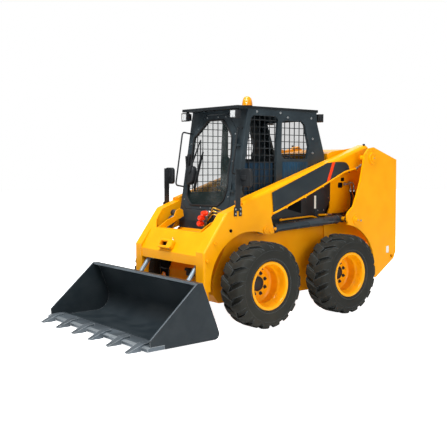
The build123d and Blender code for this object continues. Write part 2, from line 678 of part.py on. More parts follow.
with BuildPart() as cab:
    slab(cab_side, -cab_half, cab_half)
    slab(cab_inside, -cab_half + cab_wall, cab_half - cab_wall, Mode.SUBTRACT)
    slab(front_window, -cab_half - 5, cab_half + 5, Mode.SUBTRACT)
    slab(rear_window, -cab_half - 5, cab_half + 5, Mode.SUBTRACT)
    # door opening, a little larger than the leaf
    leaf = outline(face_plane(60), door_leaf)
    opening = offset(leaf, amount=5, kind=Kind.INTERSECTION, mode=Mode.PRIVATE)
    extrude(opening, amount=-120, mode=Mode.SUBTRACT)
    # rear window
    block(-back_light_half, back_light_half, 430, 640, back_light_low, back_light_high, Mode.SUBTRACT)
    # hinge pins of the door, each on a foot beside the opening
    for up in door_hinge_ups:
        pin_plane = hinge_plane(up - 25)
        extrude(round_face(pin_plane, hinge_pin_r), amount=90)
        foot = [(-hinge_pin_r, -hinge_pin_r), (60, -hinge_pin_r), (60, door_hinge_out + 8),
                (hinge_pin_r + 2, door_hinge_out + 8), (-hinge_pin_r, hinge_pin_r)]
        extrude(outline(pin_plane, foot), amount=20)
save(cab.part, "cab_frame")

with BuildPart() as roof:
    block(-roof_half, roof_half, roof_front, roof_rear, cab_roof_z, cab_roof_z + roof_plate)
save(roof.part, "cab_roof")

with BuildPart() as door:
    extrude(outline(face_plane(2), door_leaf), amount=-26)
    extrude(outline(face_plane(10), door_window), amount=-50, mode=Mode.SUBTRACT)
    for up in door_hinge_ups:
        sleeve = hinge_plane(up)
        extrude(round_face(sleeve, hinge_sleeve_r), amount=60)
        wing = [(-50, door_hinge_out - 3), (-50, door_hinge_out + 6), (-8, door_hinge_out + 6),
                (-8, 0), (-20, 0)]
        extrude(outline(sleeve, wing), amount=60)
        extrude(round_face(sleeve.offset(-5), hinge_pin_r + hinge_fit), amount=80, mode=Mode.SUBTRACT)
save(door.part, "cab_door")

with BuildPart() as door_pane:
    extrude(offset(outline(face_plane(-8), door_window), amount=-seat_gap, kind=Kind.INTERSECTION,
                   mode=Mode.PRIVATE), amount=-glass)
save(door_pane.part, "door_glass")

with BuildPart() as rear_pane:
    block(-back_light_half + seat_gap, back_light_half - seat_gap, 520, 520 + glass,
          back_light_low + seat_gap, back_light_high - seat_gap)
save(rear_pane.part, "rear_glass")

mesh_lap = 14           # how far the mesh's border reaches past a window's edge
mesh_x = cab_half - cab_wall - seat_gap - mesh_bar


def mesh_cells(window):
    """The openings of a wire mesh, inside a window's outline."""
    with BuildPart() as cells:
        with BuildSketch(side_plane(mesh_x)) as grid:
            with Locations((-100, 1625)):
                with GridLocations(mesh_pitch, mesh_pitch, 16, 12):
                    Rectangle(mesh_pitch - mesh_bar, mesh_pitch - mesh_bar)
        extrude(grid.sketch, amount=mesh_bar)
        extrude(outline(side_plane(mesh_x), window), amount=mesh_bar, mode=Mode.INTERSECT)
    return cells.part


window_cells = [mesh_cells(window) for window in (front_window, rear_window)]
with BuildPart() as grilles:
    for window, cells in zip((front_window, rear_window), window_cells):
        border = offset(outline(side_plane(mesh_x), window), amount=mesh_lap, kind=Kind.INTERSECTION,
                        mode=Mode.PRIVATE)
        extrude(border, amount=mesh_bar)
        add(cells, mode=Mode.SUBTRACT)
    both_sides()
save(grilles.part, "side_grilles")

seat_half, seat_low, seat_high = 230, 1010, 1130
pedestal_half = 180
seat_back = [(250, 1080), (340, 1080), (420, 1650), (340, 1650)]
with BuildPart() as seat:
    block(-seat_half, seat_half, -150, 330, seat_low, seat_high)
    slab(seat_back, -seat_half + 10, seat_half - 10)
    block(-pedestal_half, pedestal_half, -100, 300, cab_floor_z + cab_floor_plate + seat_gap, seat_low)
save(seat.part, "seat")

wall_in = cab_half - cab_wall - seat_gap       # where inner pieces meet the cab's sides
lap_bar_r, lap_bend = 19, 40
with BuildPart() as lap_bar:
    bar_points = [(-wall_in, 260, 1195), (-330, 260, 1195), (-330, -250, 1290), (330, -250, 1290),
                  (330, 260, 1195), (wall_in, 260, 1195)]
    with BuildLine() as bar_path:
        FilletPolyline(*[(x, y - middle_y, z) for x, y, z in bar_points], radius=lap_bend)
    with BuildSketch(Plane(origin=bar_path.line @ 0, z_dir=bar_path.line % 0)) as ring:
        Circle(lap_bar_r)
    sweep(ring.sketch, path=bar_path.line)
save(lap_bar.part, "lap_bar")

console_top = 1100
console_foot = cab_floor_z + cab_floor_plate + seat_gap
stick_x, stick_y = 376, -70
stick_r, stick_length = 11, 90
grip_r, grip_length = 20, 105
on_its_foot = (Align.CENTER, Align.CENTER, Align.MIN)
with BuildPart() as consoles:
    block(290, wall_in, -120, 380, console_foot, console_top)
    with Locations(level_plane(console_top).location * Pos(stick_x, stick_y, 0)):
        Cylinder(stick_r, stick_length, align=on_its_foot)
    with Locations(level_plane(console_top + stick_length - 10).location * Pos(stick_x, stick_y, 0)):
        Cylinder(grip_r, grip_length, align=on_its_foot)
    both_sides()
save(consoles.part, "side_consoles")

# ---------------------------------------------------------------- lamps, beacon, rails
with BuildPart() as front_lamps:
    block(345, 430, -640, -565, 1975, 2058)
    block(370, 400, -610, -570, 2058, cab_roof_z - seat_gap)
    both_sides()
save(front_lamps.part, "front_lamps")

with BuildPart() as rear_lamps:
    block(330, 425, 500, 595, 1975, 2062)
    block(360, 395, 480, 510, 2062, cab_roof_z - seat_gap)
    both_sides()
save(rear_lamps.part, "rear_lamps")

roof_top = cab_roof_z + roof_plate
beacon_x, beacon_y = 250, -330
beacon_base_r, beacon_base_height = 58, 18
dome_foot = roof_top + beacon_base_height + 2 * seat_gap
with BuildPart() as beacon_base:
    with BuildSketch(level_plane(roof_top + seat_gap)) as base_ring:
        with Locations((beacon_x, beacon_y)):
            Circle(beacon_base_r)
    extrude(base_ring.sketch, amount=beacon_base_height)
save(beacon_base.part, "beacon_base")

with BuildPart() as beacon:
    dome = [(0, 0), (52, 0), (50, 48), (40, 76), (20, 90), (0, 93)]
    with BuildSketch(front_plane(beacon_y) * Pos(beacon_x, dome_foot)) as dome_face:
        with BuildLine():
            Polyline(*dome, close=True)
        make_face()
    revolve(dome_face.sketch, axis=Axis((beacon_x, beacon_y - middle_y, 0), (0, 0, 1)))
save(beacon.part, "beacon_dome")

# hand rails on the leaning face: x, height of the upper end, of the lower end, reach out
rail_table = [(-428, 1850, 1300, 105), (395, 1885, 1440, 62)]
rail_r, rail_bend = 8, 28
with BuildPart() as rails:
    for x, high, low, reach in rail_table:
        top_y, low_y = face_y(high) - seat_gap, face_y(low) - seat_gap
        rise = reach * cab_lean_slope
        path = [(top_y, high), (top_y - reach, high + rise), (low_y - reach, low + rise), (low_y, low)]
        points = [(x, y - middle_y, z) for y, z in path]
        with BuildLine() as rail_path:
            FilletPolyline(*points, radius=rail_bend)
        with BuildSketch(Plane(origin=rail_path.line @ 0, z_dir=rail_path.line % 0)) as ring:
            Circle(rail_r)
        sweep(ring.sketch, path=rail_path.line)
save(rails.part, "grab_rails")

# ---------------------------------------------------------------- mirrors and couplings on the boom
post_y = -728
post_half = 29
post_side = [(post_y - post_half, 1490), (post_y + post_half, 1490), (post_y + post_half, 1145),
             (post_y + 46, 1130), (post_y + 46, 1050), (post_y + 16, 1050), (post_y + 16, 1100),
             (post_y - 16, 1100), (post_y - 16, 1050), (post_y - 46, 1050), (post_y - 46, 1130),
             (post_y - post_half, 1145)]
post_x = arm_outer + seat_gap
with BuildPart() as mirror_posts:
    slab(post_side, post_x, post_x + 10)
    both_sides()
save(mirror_posts.part, "mirror_posts")

# each mirror hangs behind its post: (x from, x to)
mirror_spans = [(575, 715), (-650, -510)]
mirror_z, mirror_height, mirror_depth, mirror_corner = 1412, 172, 38, 34
with BuildPart() as mirrors:
    for low, high in mirror_spans:
        with BuildSketch(front_plane(post_y + post_half + seat_gap)) as face:
            with Locations(((low + high) / 2, mirror_z)):
                RectangleRounded(high - low, mirror_height, mirror_corner)
        extrude(face.sketch, amount=-mirror_depth)
save(mirrors.part, "mirrors")


coupler_y = bracket_y - bracket_plate - seat_gap
nipple_r, nipple_length = 20, 40
cap_r, cap_length = 26, 62
coupler_places = [(303, 1070), (256, 1024), (241, 970)]
with BuildPart() as couplers:
    with BuildSketch(front_plane(coupler_y)) as caps:
        with Locations(*coupler_places):
            Circle(nipple_r)
    extrude(caps.sketch, amount=nipple_length)
    with BuildSketch(front_plane(coupler_y - nipple_length)) as caps:
        with Locations(*coupler_places):
            Circle(cap_r)
    extrude(caps.sketch, amount=cap_length)
save(couplers.part, "auxiliary_couplers")
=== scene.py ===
# %% [markdown]
# # A skid steer loader, dressed cell by cell
#
# The machine's frame comes from its CAD model: plates, cab, boom, bucket and wheels at
# their real size, each joined to the body that it moves with. This notebook gives every
# surface its finish and adds what CAD leaves out: treads, bolts, hoses, seams and padding.
# Lengths are metres. X points to the machine's left, Y to its rear and Z up.

# %% Load the frame
import bpy
import json
import math
from mathutils import Matrix, Vector


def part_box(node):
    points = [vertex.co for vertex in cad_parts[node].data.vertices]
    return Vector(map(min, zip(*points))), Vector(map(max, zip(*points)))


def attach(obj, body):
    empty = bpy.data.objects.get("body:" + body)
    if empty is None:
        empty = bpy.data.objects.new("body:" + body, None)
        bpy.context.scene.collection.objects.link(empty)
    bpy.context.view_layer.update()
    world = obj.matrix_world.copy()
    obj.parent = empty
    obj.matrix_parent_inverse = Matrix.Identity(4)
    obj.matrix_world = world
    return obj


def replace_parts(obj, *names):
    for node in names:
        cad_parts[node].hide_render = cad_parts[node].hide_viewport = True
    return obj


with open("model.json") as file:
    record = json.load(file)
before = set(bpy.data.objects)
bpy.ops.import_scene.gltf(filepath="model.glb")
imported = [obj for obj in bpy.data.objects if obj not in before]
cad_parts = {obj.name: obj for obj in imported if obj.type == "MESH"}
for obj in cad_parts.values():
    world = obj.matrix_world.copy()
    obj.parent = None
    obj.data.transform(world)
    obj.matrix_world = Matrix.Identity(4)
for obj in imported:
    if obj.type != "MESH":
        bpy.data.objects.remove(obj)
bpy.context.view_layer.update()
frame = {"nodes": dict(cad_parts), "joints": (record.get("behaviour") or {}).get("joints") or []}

# %% [markdown]
# ## Stations
#
# A builder of loaders measures along the machine from the middle of the wheelbase, and up
# from the ground. The same habit helps here. The helper `at` turns such a station into a
# point of the scene, and joints and boxes of the frame give the rest.

# %% Stations along the machine
def box_middle(node):
    """Centre of a CAD node's box."""
    low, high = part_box(node)
    return (Vector(low) + Vector(high)) / 2


front_wheel = box_middle("tyre_front_left")
rear_wheel = box_middle("tyre_rear_left")
wheel_mid = (front_wheel.y + rear_wheel.y) / 2
tyre_radius = front_wheel.z
joint_at = {joint["name"]: Vector(joint["pos_m"]) for joint in frame["joints"] if "pos_m" in joint}


def at(x, y, z):
    """Point at x, at a station y from the middle of the wheelbase, at height z."""
    return Vector((x, y + wheel_mid, z))


print("wheelbase", round(rear_wheel.y - front_wheel.y, 4), "tyre radius", round(tyre_radius, 4))

# %% [markdown]
# ## Selecting and settling
#
# Blender's operators act on whatever is selected, and a loaded model arrives selected. So
# each piece begins with `calm`, which empties the selection. Each ends with `settle`, which
# applies its place to its mesh, names it, paints it and hands it to the body that it rides
# on. Doing both in helpers keeps the modelling cells short.

# %% Helpers for selection
def calm():
    """Leave edit mode and select nothing."""
    if bpy.context.object and bpy.context.object.mode != "OBJECT":
        bpy.ops.object.mode_set(mode="OBJECT")
    bpy.ops.object.select_all(action="DESELECT")


def choose(*pieces):
    """Select pieces, the first of them active."""
    calm()
    for piece in pieces:
        piece.select_set(True)
    bpy.context.view_layer.objects.active = pieces[0]


def edit(piece, mode="FACE"):
    """Open a piece for editing with nothing in it selected."""
    choose(piece)
    bpy.ops.object.mode_set(mode="EDIT")
    bpy.ops.mesh.select_mode(type=mode)
    bpy.ops.mesh.select_all(action="DESELECT")
    bpy.ops.object.mode_set(mode="OBJECT")


def pick_faces(piece, test):
    """Select the faces whose centre and normal pass a test, and open the piece for editing."""
    edit(piece)
    for face in piece.data.polygons:
        face.select = test(face.center, face.normal)
    bpy.ops.object.mode_set(mode="EDIT")


def place_applied(piece):
    """Put a piece's place, turn and scale into its mesh."""
    choose(piece)
    bpy.ops.object.transform_apply(location=True, rotation=True, scale=True)


def use_modifier(piece, kind, **settings):
    """Add a modifier, set it up and apply it."""
    choose(piece)
    modifier = piece.modifiers.new(kind.title(), kind)
    for name, value in settings.items():
        setattr(modifier, name, value)
    bpy.ops.object.modifier_apply(modifier=modifier.name)


def soften(piece, width=0.002, segments=2, angle=35):
    """Round a piece's hard edges and shade the rest smooth."""
    use_modifier(piece, "BEVEL", width=width, segments=segments, limit_method="ANGLE",
                 angle_limit=math.radians(angle), harden_normals=False)
    bpy.ops.object.shade_smooth_by_angle(angle=math.radians(30))


def welded(pieces):
    """Join a list of pieces into its first. A single piece stays as it is."""
    pieces = pieces if isinstance(pieces, list) else [pieces]
    choose(*pieces)
    if len(pieces) > 1:
        bpy.ops.object.join()
    return bpy.context.object


made = []


def settle(piece, name, material, body="chassis"):
    """Name, paint and hand a finished piece, or a list of them, to its body."""
    piece = welded(piece)
    place_applied(piece)
    piece.name = name
    piece.data.name = name
    piece.data.materials.clear()
    piece.data.materials.append(material)
    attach(piece, body)
    made.append(name)
    calm()
    return piece

# %% [markdown]
# ## Finishes
#
# Three effects return on most surfaces: edges take a third tone, which is rubbed paint on
# most finishes and a painted highlight on the tyres' bars; dust settles low down; and a fine
# grain breaks up every reflection. Each is a shader node group with named inputs and
# outputs, built once, and placed in each material with that material's values.

# %% Small helpers for shader nodes
def link(tree, source, target):
    """Join an output to an input."""
    tree.links.new(source, target)


def node(tree, kind, **inputs):
    """Add a shader node and set inputs by name, with spaces written as underscores."""
    made_node = tree.nodes.new(kind)
    for name, value in inputs.items():
        made_node.inputs[name.replace("_", " ")].default_value = value
    return made_node


def maths(tree, operation, first, second, clamp=False):
    """Math node whose inputs are sockets or numbers."""
    step = tree.nodes.new("ShaderNodeMath")
    step.operation = operation
    step.use_clamp = clamp
    for socket, value in zip(step.inputs, (first, second)):
        if isinstance(value, (int, float)):
            socket.default_value = value
        else:
            link(tree, value, socket)
    return step.outputs[0]


def ramp(tree, value, low, high):
    """Smooth step of a value from low to high."""
    step = tree.nodes.new("ShaderNodeMapRange")
    step.interpolation_type = "SMOOTHSTEP"
    step.inputs["From Min"].default_value = low
    step.inputs["From Max"].default_value = high
    link(tree, value, step.inputs["Value"])
    return step.outputs["Result"]


def new_group(name, inputs, outputs):
    """Node group with float inputs (name, default) and named float outputs."""
    group = bpy.data.node_groups.new(name, "ShaderNodeTree")
    for label, default in inputs:
        socket = group.interface.new_socket(name=label, in_out="INPUT", socket_type="NodeSocketFloat")
        socket.default_value = default
    for label in outputs:
        group.interface.new_socket(name=label, in_out="OUTPUT", socket_type="NodeSocketFloat")
    return group, group.nodes.new("NodeGroupInput"), group.nodes.new("NodeGroupOutput")


def place_group(tree, group, **inputs):
    """Put a node group in a material with its own values."""
    placed = tree.nodes.new("ShaderNodeGroup")
    placed.node_tree = group
    for name, value in inputs.items():
        placed.inputs[name.replace("_", " ")].default_value = value
    return placed


# %% [markdown]
# Worn edges come from the Bevel node: where a rounded normal parts from the true one, an
# edge is near. Noise eats into the mask, because real wear is patchy. On the tyres the
# same mask carries a painted highlight along the bars' edges.

# %% Node group: worn edges, and painted edge highlights
edge_wear_and_highlight, group_in, group_out = new_group(
    "edge_wear_and_highlight", [("Width", 0.004), ("Patch Scale", 18.0), ("Amount", 0.5)], ["Mask"])
rounded = node(edge_wear_and_highlight, "ShaderNodeBevel")
rounded.samples = 4
link(edge_wear_and_highlight, group_in.outputs["Width"], rounded.inputs["Radius"])
true_normal = node(edge_wear_and_highlight, "ShaderNodeNewGeometry")
parted = edge_wear_and_highlight.nodes.new("ShaderNodeVectorMath")
parted.operation = "DOT_PRODUCT"
link(edge_wear_and_highlight, rounded.outputs["Normal"], parted.inputs[0])
link(edge_wear_and_highlight, true_normal.outputs["Normal"], parted.inputs[1])
near_edge = maths(edge_wear_and_highlight, "SUBTRACT", 1.0, parted.outputs["Value"], clamp=True)
place = node(edge_wear_and_highlight, "ShaderNodeTexCoord")
patches = node(edge_wear_and_highlight, "ShaderNodeTexNoise", Detail=6.0, Roughness=0.65)
link(edge_wear_and_highlight, place.outputs["Object"], patches.inputs["Vector"])
link(edge_wear_and_highlight, group_in.outputs["Patch Scale"], patches.inputs["Scale"])
patch_gain = 9.0
patchiness = maths(edge_wear_and_highlight, "MULTIPLY", patches.outputs["Fac"], patch_gain)
patchy = maths(edge_wear_and_highlight, "MULTIPLY", near_edge, patchiness)
strength = maths(edge_wear_and_highlight, "MULTIPLY", ramp(edge_wear_and_highlight, patchy, 0.15, 0.9), group_in.outputs["Amount"])
link(edge_wear_and_highlight, strength, group_out.inputs["Mask"])

# %% [markdown]
# Dust lies thickest near the ground and in drifts. The group takes the height at which it
# fades out, so tyres can be dusty all over and paint only along its skirts.

# %% Node group: settled dust
dust, group_in, group_out = new_group(
    "dust", [("Fades Out At", 0.7), ("Amount", 0.4), ("Drift Scale", 3.0)], ["Mask"])
place = node(dust, "ShaderNodeTexCoord")
split = node(dust, "ShaderNodeSeparateXYZ")
link(dust, place.outputs["Object"], split.inputs["Vector"])
height = maths(dust, "DIVIDE", split.outputs["Z"], group_in.outputs["Fades Out At"])
low_down = maths(dust, "SUBTRACT", 1.0, height, clamp=True)
drifts = node(dust, "ShaderNodeTexNoise", Detail=7.0, Roughness=0.6)
link(dust, place.outputs["Object"], drifts.inputs["Vector"])
link(dust, group_in.outputs["Drift Scale"], drifts.inputs["Scale"])
drifted = maths(dust, "MULTIPLY", low_down, ramp(dust, drifts.outputs["Fac"], 0.35, 0.75))
link(dust, maths(dust, "MULTIPLY", drifted, group_in.outputs["Amount"]), group_out.inputs["Mask"])

# %% [markdown]
# Grain is two layers of noise: a fine one for the skin of paint, rubber or plastic, and a
# broad one for the gentle waves of rolled plate. The output feeds a Bump node.

# %% Node group: grain
grain, group_in, group_out = new_group(
    "grain", [("Fine Scale", 900.0), ("Fine", 0.5), ("Broad Scale", 5.0), ("Broad", 0.5)],
    ["Height", "Shade"])
place = node(grain, "ShaderNodeTexCoord")
heights = []
for size, weight in (("Fine Scale", "Fine"), ("Broad Scale", "Broad")):
    layer = node(grain, "ShaderNodeTexNoise", Detail=4.0)
    link(grain, place.outputs["Object"], layer.inputs["Vector"])
    link(grain, group_in.outputs[size], layer.inputs["Scale"])
    heights.append(maths(grain, "MULTIPLY", layer.outputs["Fac"], group_in.outputs[weight]))
link(grain, maths(grain, "ADD", *heights), group_out.inputs["Height"])
link(grain, layer.outputs["Fac"], group_out.inputs["Shade"])


# %% [markdown]
# One builder makes all the opaque finishes. Base colour drifts between two close tones,
# edges turn to a third, which is rubbed paint on most finishes and a painted highlight on
# the tyres, and dust goes over both. What is the same all over a surface, such as coat or
# metallic, is set on the Principled BSDF itself.

# %% Builder for opaque finishes
def colour(hexadecimal):
    """Linear colour from the six-digit code of a screen colour."""
    values = [int(hexadecimal[i:i + 2], 16) / 255 for i in (0, 2, 4)]
    return [v / 12.92 if v <= 0.04045 else ((v + 0.055) / 1.055) ** 2.4 for v in values] + [1.0]


def mix_colours(tree, mask, first, second):
    """Mix two colours, each a socket or a value, by a mask."""
    blend = tree.nodes.new("ShaderNodeMix")
    blend.data_type = "RGBA"
    link(tree, mask, blend.inputs["Factor"])
    for socket, value in ((blend.inputs[6], first), (blend.inputs[7], second)):
        if isinstance(value, list):
            socket.default_value = value
        else:
            link(tree, value, socket)
    return blend.outputs[2]


def finish(name, base, other=None, wear_and_highlight_colour=None, wear_and_highlight_amount=0.0, edge=0.004, dusty=0.0, dust_top=0.7,
           rough=0.4, metallic=0.0, coat=0.0, broad=0.4, fine_scale=900.0,
           bump=0.1, dust_colour="8a7a60", specular=0.28):
    """Opaque finish with drifting colour, an edge tone for wear and for painted highlights, dust and grain.
    """
    material = bpy.data.materials.new(name)
    material.use_nodes = True
    tree = material.node_tree
    shader = tree.nodes["Principled BSDF"]
    shader.inputs["Metallic"].default_value = metallic
    shader.inputs["Coat Weight"].default_value = coat
    shader.inputs["Coat Roughness"].default_value = 0.12
    shader.inputs["Specular IOR Level"].default_value = specular
    skin = place_group(tree, grain, Fine_Scale=fine_scale, Fine=0.3, Broad=broad)
    tone = ramp(tree, skin.outputs["Shade"], 0.3, 0.7)
    paint = mix_colours(tree, tone, colour(base), colour(other or base))
    roughness = maths(tree, "ADD", maths(tree, "MULTIPLY", tone, 0.12), rough - 0.06)
    if wear_and_highlight_amount:
        wear_and_highlight_node = place_group(tree, edge_wear_and_highlight, Width=edge, Amount=wear_and_highlight_amount)
        paint = mix_colours(tree, wear_and_highlight_node.outputs["Mask"], paint, colour(wear_and_highlight_colour))
    if dusty:
        settled = place_group(tree, dust, Fades_Out_At=dust_top, Amount=dusty)
        paint = mix_colours(tree, settled.outputs["Mask"], paint, colour(dust_colour))
        roughness = maths(tree, "ADD", roughness, maths(tree, "MULTIPLY", settled.outputs["Mask"], 0.4))
    link(tree, paint, shader.inputs["Base Color"])
    link(tree, roughness, shader.inputs["Roughness"])
    relief = node(tree, "ShaderNodeBump", Strength=bump, Distance=0.001)
    link(tree, skin.outputs["Height"], relief.inputs["Height"])
    link(tree, relief.outputs["Normal"], shader.inputs["Normal"])
    return material


# %% Paints, rubber, metals and plastics
yellow = finish("yellow_paint", "f6a202", "f9a905", wear_and_highlight_colour="d98a10", wear_and_highlight_amount=0.35, edge=0.003,
                dusty=0.2, dust_top=0.45, rough=0.34, coat=0.08, bump=0.06, specular=0.16)
yellow_rim = finish("yellow_rim_paint", "f8a404", "fcae08", wear_and_highlight_colour="ffd040", wear_and_highlight_amount=0.3, edge=0.003,
                    dusty=0.15, dust_top=0.5, rough=0.3, coat=0.1, bump=0.05, specular=0.16)
# The tub is the same yellow as the rest; this darker, more orange copy of it is painted shade.
yellow_painted_shade = finish("chassis_painted_shade", "f29606", "f6a00c", wear_and_highlight_colour="a86a10", wear_and_highlight_amount=0.3, edge=0.003,
                      dusty=0.25, dust_top=0.6, rough=0.38, coat=0.05, bump=0.06, specular=0.12)
cab_paint = finish("cab_paint", "232d33", "2a353b", wear_and_highlight_colour="6a7378", wear_and_highlight_amount=0.4, edge=0.003,
                   dusty=0.06, dust_top=2.4, rough=0.36, coat=0.08, bump=0.08)
roof_paint = finish("roof_paint", "11171a", "181e22", wear_and_highlight_colour="596267", wear_and_highlight_amount=0.35, edge=0.003,
                    dusty=0.04, dust_top=2.6, rough=0.4, coat=0.05, bump=0.08)
bucket_paint = finish("bucket_paint", "20282d", "2b3236", wear_and_highlight_colour="8b8f90", wear_and_highlight_amount=0.85, edge=0.006,
                      dusty=0.1, dust_top=0.5, rough=0.42, bump=0.15, broad=0.8,
                      dust_colour="4c5357", specular=0.2)
tooth_steel = finish("tooth_steel", "565f66", "68727a", wear_and_highlight_colour="c4cace", wear_and_highlight_amount=1.0, edge=0.008,
                     dusty=0.1, dust_top=0.3, rough=0.38, metallic=0.5, bump=0.2)
# The tyres' lighter grey edge tone is a painted highlight along the tops and edges of the bars, not wear.
rubber = finish("tyre_rubber", "20211e", "272824", wear_and_highlight_colour="596064", wear_and_highlight_amount=0.8, edge=0.010,
                dusty=0.16, dust_top=1.2, rough=0.72, bump=0.25, fine_scale=450.0,
                dust_colour="5b5548", specular=0.22)
black_iron = finish("black_iron", "1c1f21", "25292c", wear_and_highlight_colour="5a5f63", wear_and_highlight_amount=0.4, rough=0.45, bump=0.1)
cylinder_paint = finish("cylinder_paint", "2d363c", "39434a", wear_and_highlight_colour="727b80", wear_and_highlight_amount=0.3, rough=0.28,
                        coat=0.2, dusty=0.1, dust_top=1.2)
chrome = finish("rod_chrome", "8fa0ab", "83939e", rough=0.40, metallic=0.35, bump=0.01)
zinc = finish("zinc_steel", "b4b8ba", "9da1a3", wear_and_highlight_colour="e2e4e5", wear_and_highlight_amount=0.4, edge=0.002, rough=0.3,
              metallic=0.9, bump=0.05)
plastic = finish("dark_plastic", "191b1d", "212427", rough=0.5, bump=0.3, fine_scale=1400.0)
hose_rubber = finish("hose_rubber", "17181a", "202123", rough=0.5, bump=0.2, fine_scale=1200.0,
                     dusty=0.1, dust_top=2.0)
red_plastic = finish("red_cap", "ff3a0a", "f03006", wear_and_highlight_colour="ff7a50", wear_and_highlight_amount=0.3, edge=0.002, rough=0.3,
                     coat=0.2)
slate_film = finish("slate_film", "242c31", "283136", rough=0.34, bump=0.02, dusty=0.08, dust_top=2.0)
slash_film = finish("red_orange_film", "fb3d09", "f5420e", rough=0.34, bump=0.02)
pale_film = finish("pale_plate", "e9e6da", "dedbd0", rough=0.4, bump=0.02)
mirror_silver = finish("mirror_silver", "c8cdd0", "bcc2c6", rough=0.10, metallic=1.0, bump=0.0)
blue_panel = finish("blue_panel", "1a3f59", "153347", rough=0.45, bump=0.05)
lining_blue = finish("lining_blue", "16344a", "11293a", rough=0.5, bump=0.05)
brass = finish("yellow_zinc", "c79a3a", "b3872c", wear_and_highlight_colour="e8c878", wear_and_highlight_amount=0.4, edge=0.002, rough=0.32,
               metallic=0.8, bump=0.04)
seat_vinyl = finish("seat_vinyl", "1b1d1f", "232629", rough=0.55, bump=0.5, fine_scale=520.0, broad=0.2)
seat_piping = finish("seat_piping", "30353a", "3a4046", rough=0.5, bump=0.2, fine_scale=900.0)
webbing = finish("belt_webbing", "1d1e20", "2a2b2e", rough=0.8, bump=0.7, fine_scale=1500.0, specular=0.1)
grey_cast = finish("engine_grey", "4d5355", "5a6062", wear_and_highlight_colour="9a9fa1", wear_and_highlight_amount=0.5, edge=0.004, rough=0.5,
                   metallic=0.3, dusty=0.2, dust_top=1.4, bump=0.4, fine_scale=300.0)
bare_fins = finish("radiator_fins", "6d7375", "585e60", rough=0.45, metallic=0.6, bump=0.1)
shadow_black = finish("shadow_black", "0b0b0c", "111214", rough=0.9, bump=0.0, specular=0.05)
amber_band = finish("amber_lens", "ffa604", "f58206", rough=0.18, coat=0.6, bump=0.02)
worn_lip = finish("worn_lip", "6d777e", "596269", wear_and_highlight_colour="aab2b8", wear_and_highlight_amount=0.5, metallic=0.4, bump=0.12)
bare_steel = finish("bare_steel", "b9c1c6", "98a1a7", wear_and_highlight_colour="e6eaec", wear_and_highlight_amount=0.4, rough=0.32,
                    metallic=0.7, bump=0.12)
print(len(bpy.data.materials), "materials so far")


# %% [markdown]
# Glass needs its own builder. The pane is thin, so most of it is left see-through by a low
# alpha, with a faint green tint. A layer of grain clouds it here and there, as on any pane
# that is wiped in a hurry.

# %% Clear finishes
def clear_finish(name, tint, alpha, smears=0.04):
    """Thin pane or lens: tinted and see-through, with a gloss on top."""
    material = bpy.data.materials.new(name)
    material.use_nodes = True
    tree = material.node_tree
    shader = tree.nodes["Principled BSDF"]
    skin = place_group(tree, grain, Fine_Scale=60.0, Fine=0.5, Broad_Scale=4.0, Broad=0.5)
    smear = ramp(tree, skin.outputs["Shade"], 0.35, 0.75)
    clouded = mix_colours(tree, maths(tree, "MULTIPLY", smear, 0.15), colour(tint), colour("ffffff"))
    link(tree, clouded, shader.inputs["Base Color"])
    link(tree, maths(tree, "ADD", maths(tree, "MULTIPLY", smear, 0.05), 0.02), shader.inputs["Roughness"])
    link(tree, maths(tree, "ADD", maths(tree, "MULTIPLY", smear, smears), alpha), shader.inputs["Alpha"])
    shader.inputs["Specular IOR Level"].default_value = 0.16
    return material


pane = clear_finish("cab_glass", "2b3a37", alpha=0.19, smears=0.01)
lamp_lens = clear_finish("lamp_lens", "f2f5f6", alpha=0.45)
print("glass ready")

# %% [markdown]

# %% [markdown]
# ## Paint on the CAD pieces
#
# A CAD node keeps its mesh and place, and only its material slots change. One table pairs
# each finish with the nodes that wear it, so that the colours of the whole machine can be
# read, and changed, in one place.

# %% Paint the CAD nodes
def wear_finish(node_name, material):
    """Give a CAD node one finish."""
    solid = frame["nodes"][node_name]
    solid.data.materials.clear()
    solid.data.materials.append(material)


corners = ["front_left", "front_right", "rear_left", "rear_right"]
painted = [
    (yellow, ["tower_left", "tower_right", "boom_arm_left", "boom_arm_right", "boom_crossmember",
              "engine_hood", "rear_door"]),
    (yellow_rim, [f"rim_{corner}" for corner in corners]),
    # the tub takes the painted-shade copy of the yellow paint
    (yellow_painted_shade, ["chassis_tub"]),
    (cab_paint, ["cab_frame", "cab_door"]),
    (roof_paint, ["cab_roof"]),
    (bucket_paint, ["bucket_shell", "coupler"]),
    (tooth_steel, ["cutting_edge", "bucket_teeth"]),
    (rubber, [f"tyre_{corner}" for corner in corners]),
    (black_iron, ["axles", "rear_bumper", "side_grilles", "engine_block", "mirror_posts", "grab_rails",
                  "tilt_cylinder_pins"]),
    (cylinder_paint, ["lift_barrels", "tilt_barrels"]),
    (chrome, ["lift_rods", "tilt_rods"]),
    (zinc, ["auxiliary_couplers"]),
    (plastic, ["mirrors", "front_lamps", "rear_lamps", "beacon_base", "side_consoles",
               "seat", "lap_bar"]),
    (amber_band, ["beacon_dome"]),
    (pane, ["door_glass", "rear_glass"]),
]
for material, names in painted:
    for name in names:
        wear_finish(name, material)
left_over = sorted(set(frame["nodes"]) - {name for _, names in painted for name in names})
print("nodes without a finish:", left_over)
# %% [markdown]
# ## Tools for turned, cut and bent work
#
# Most parts of a loader are plate cut to an outline, round stock turned on an axis, or tube
# bent along a line. Blender has a close match for each. An outline grows from a single
# vertex by extrusion, and a spin or a pull then gives it its body. A tube is a curve with a
# round bevel, turned to mesh once its path is right.

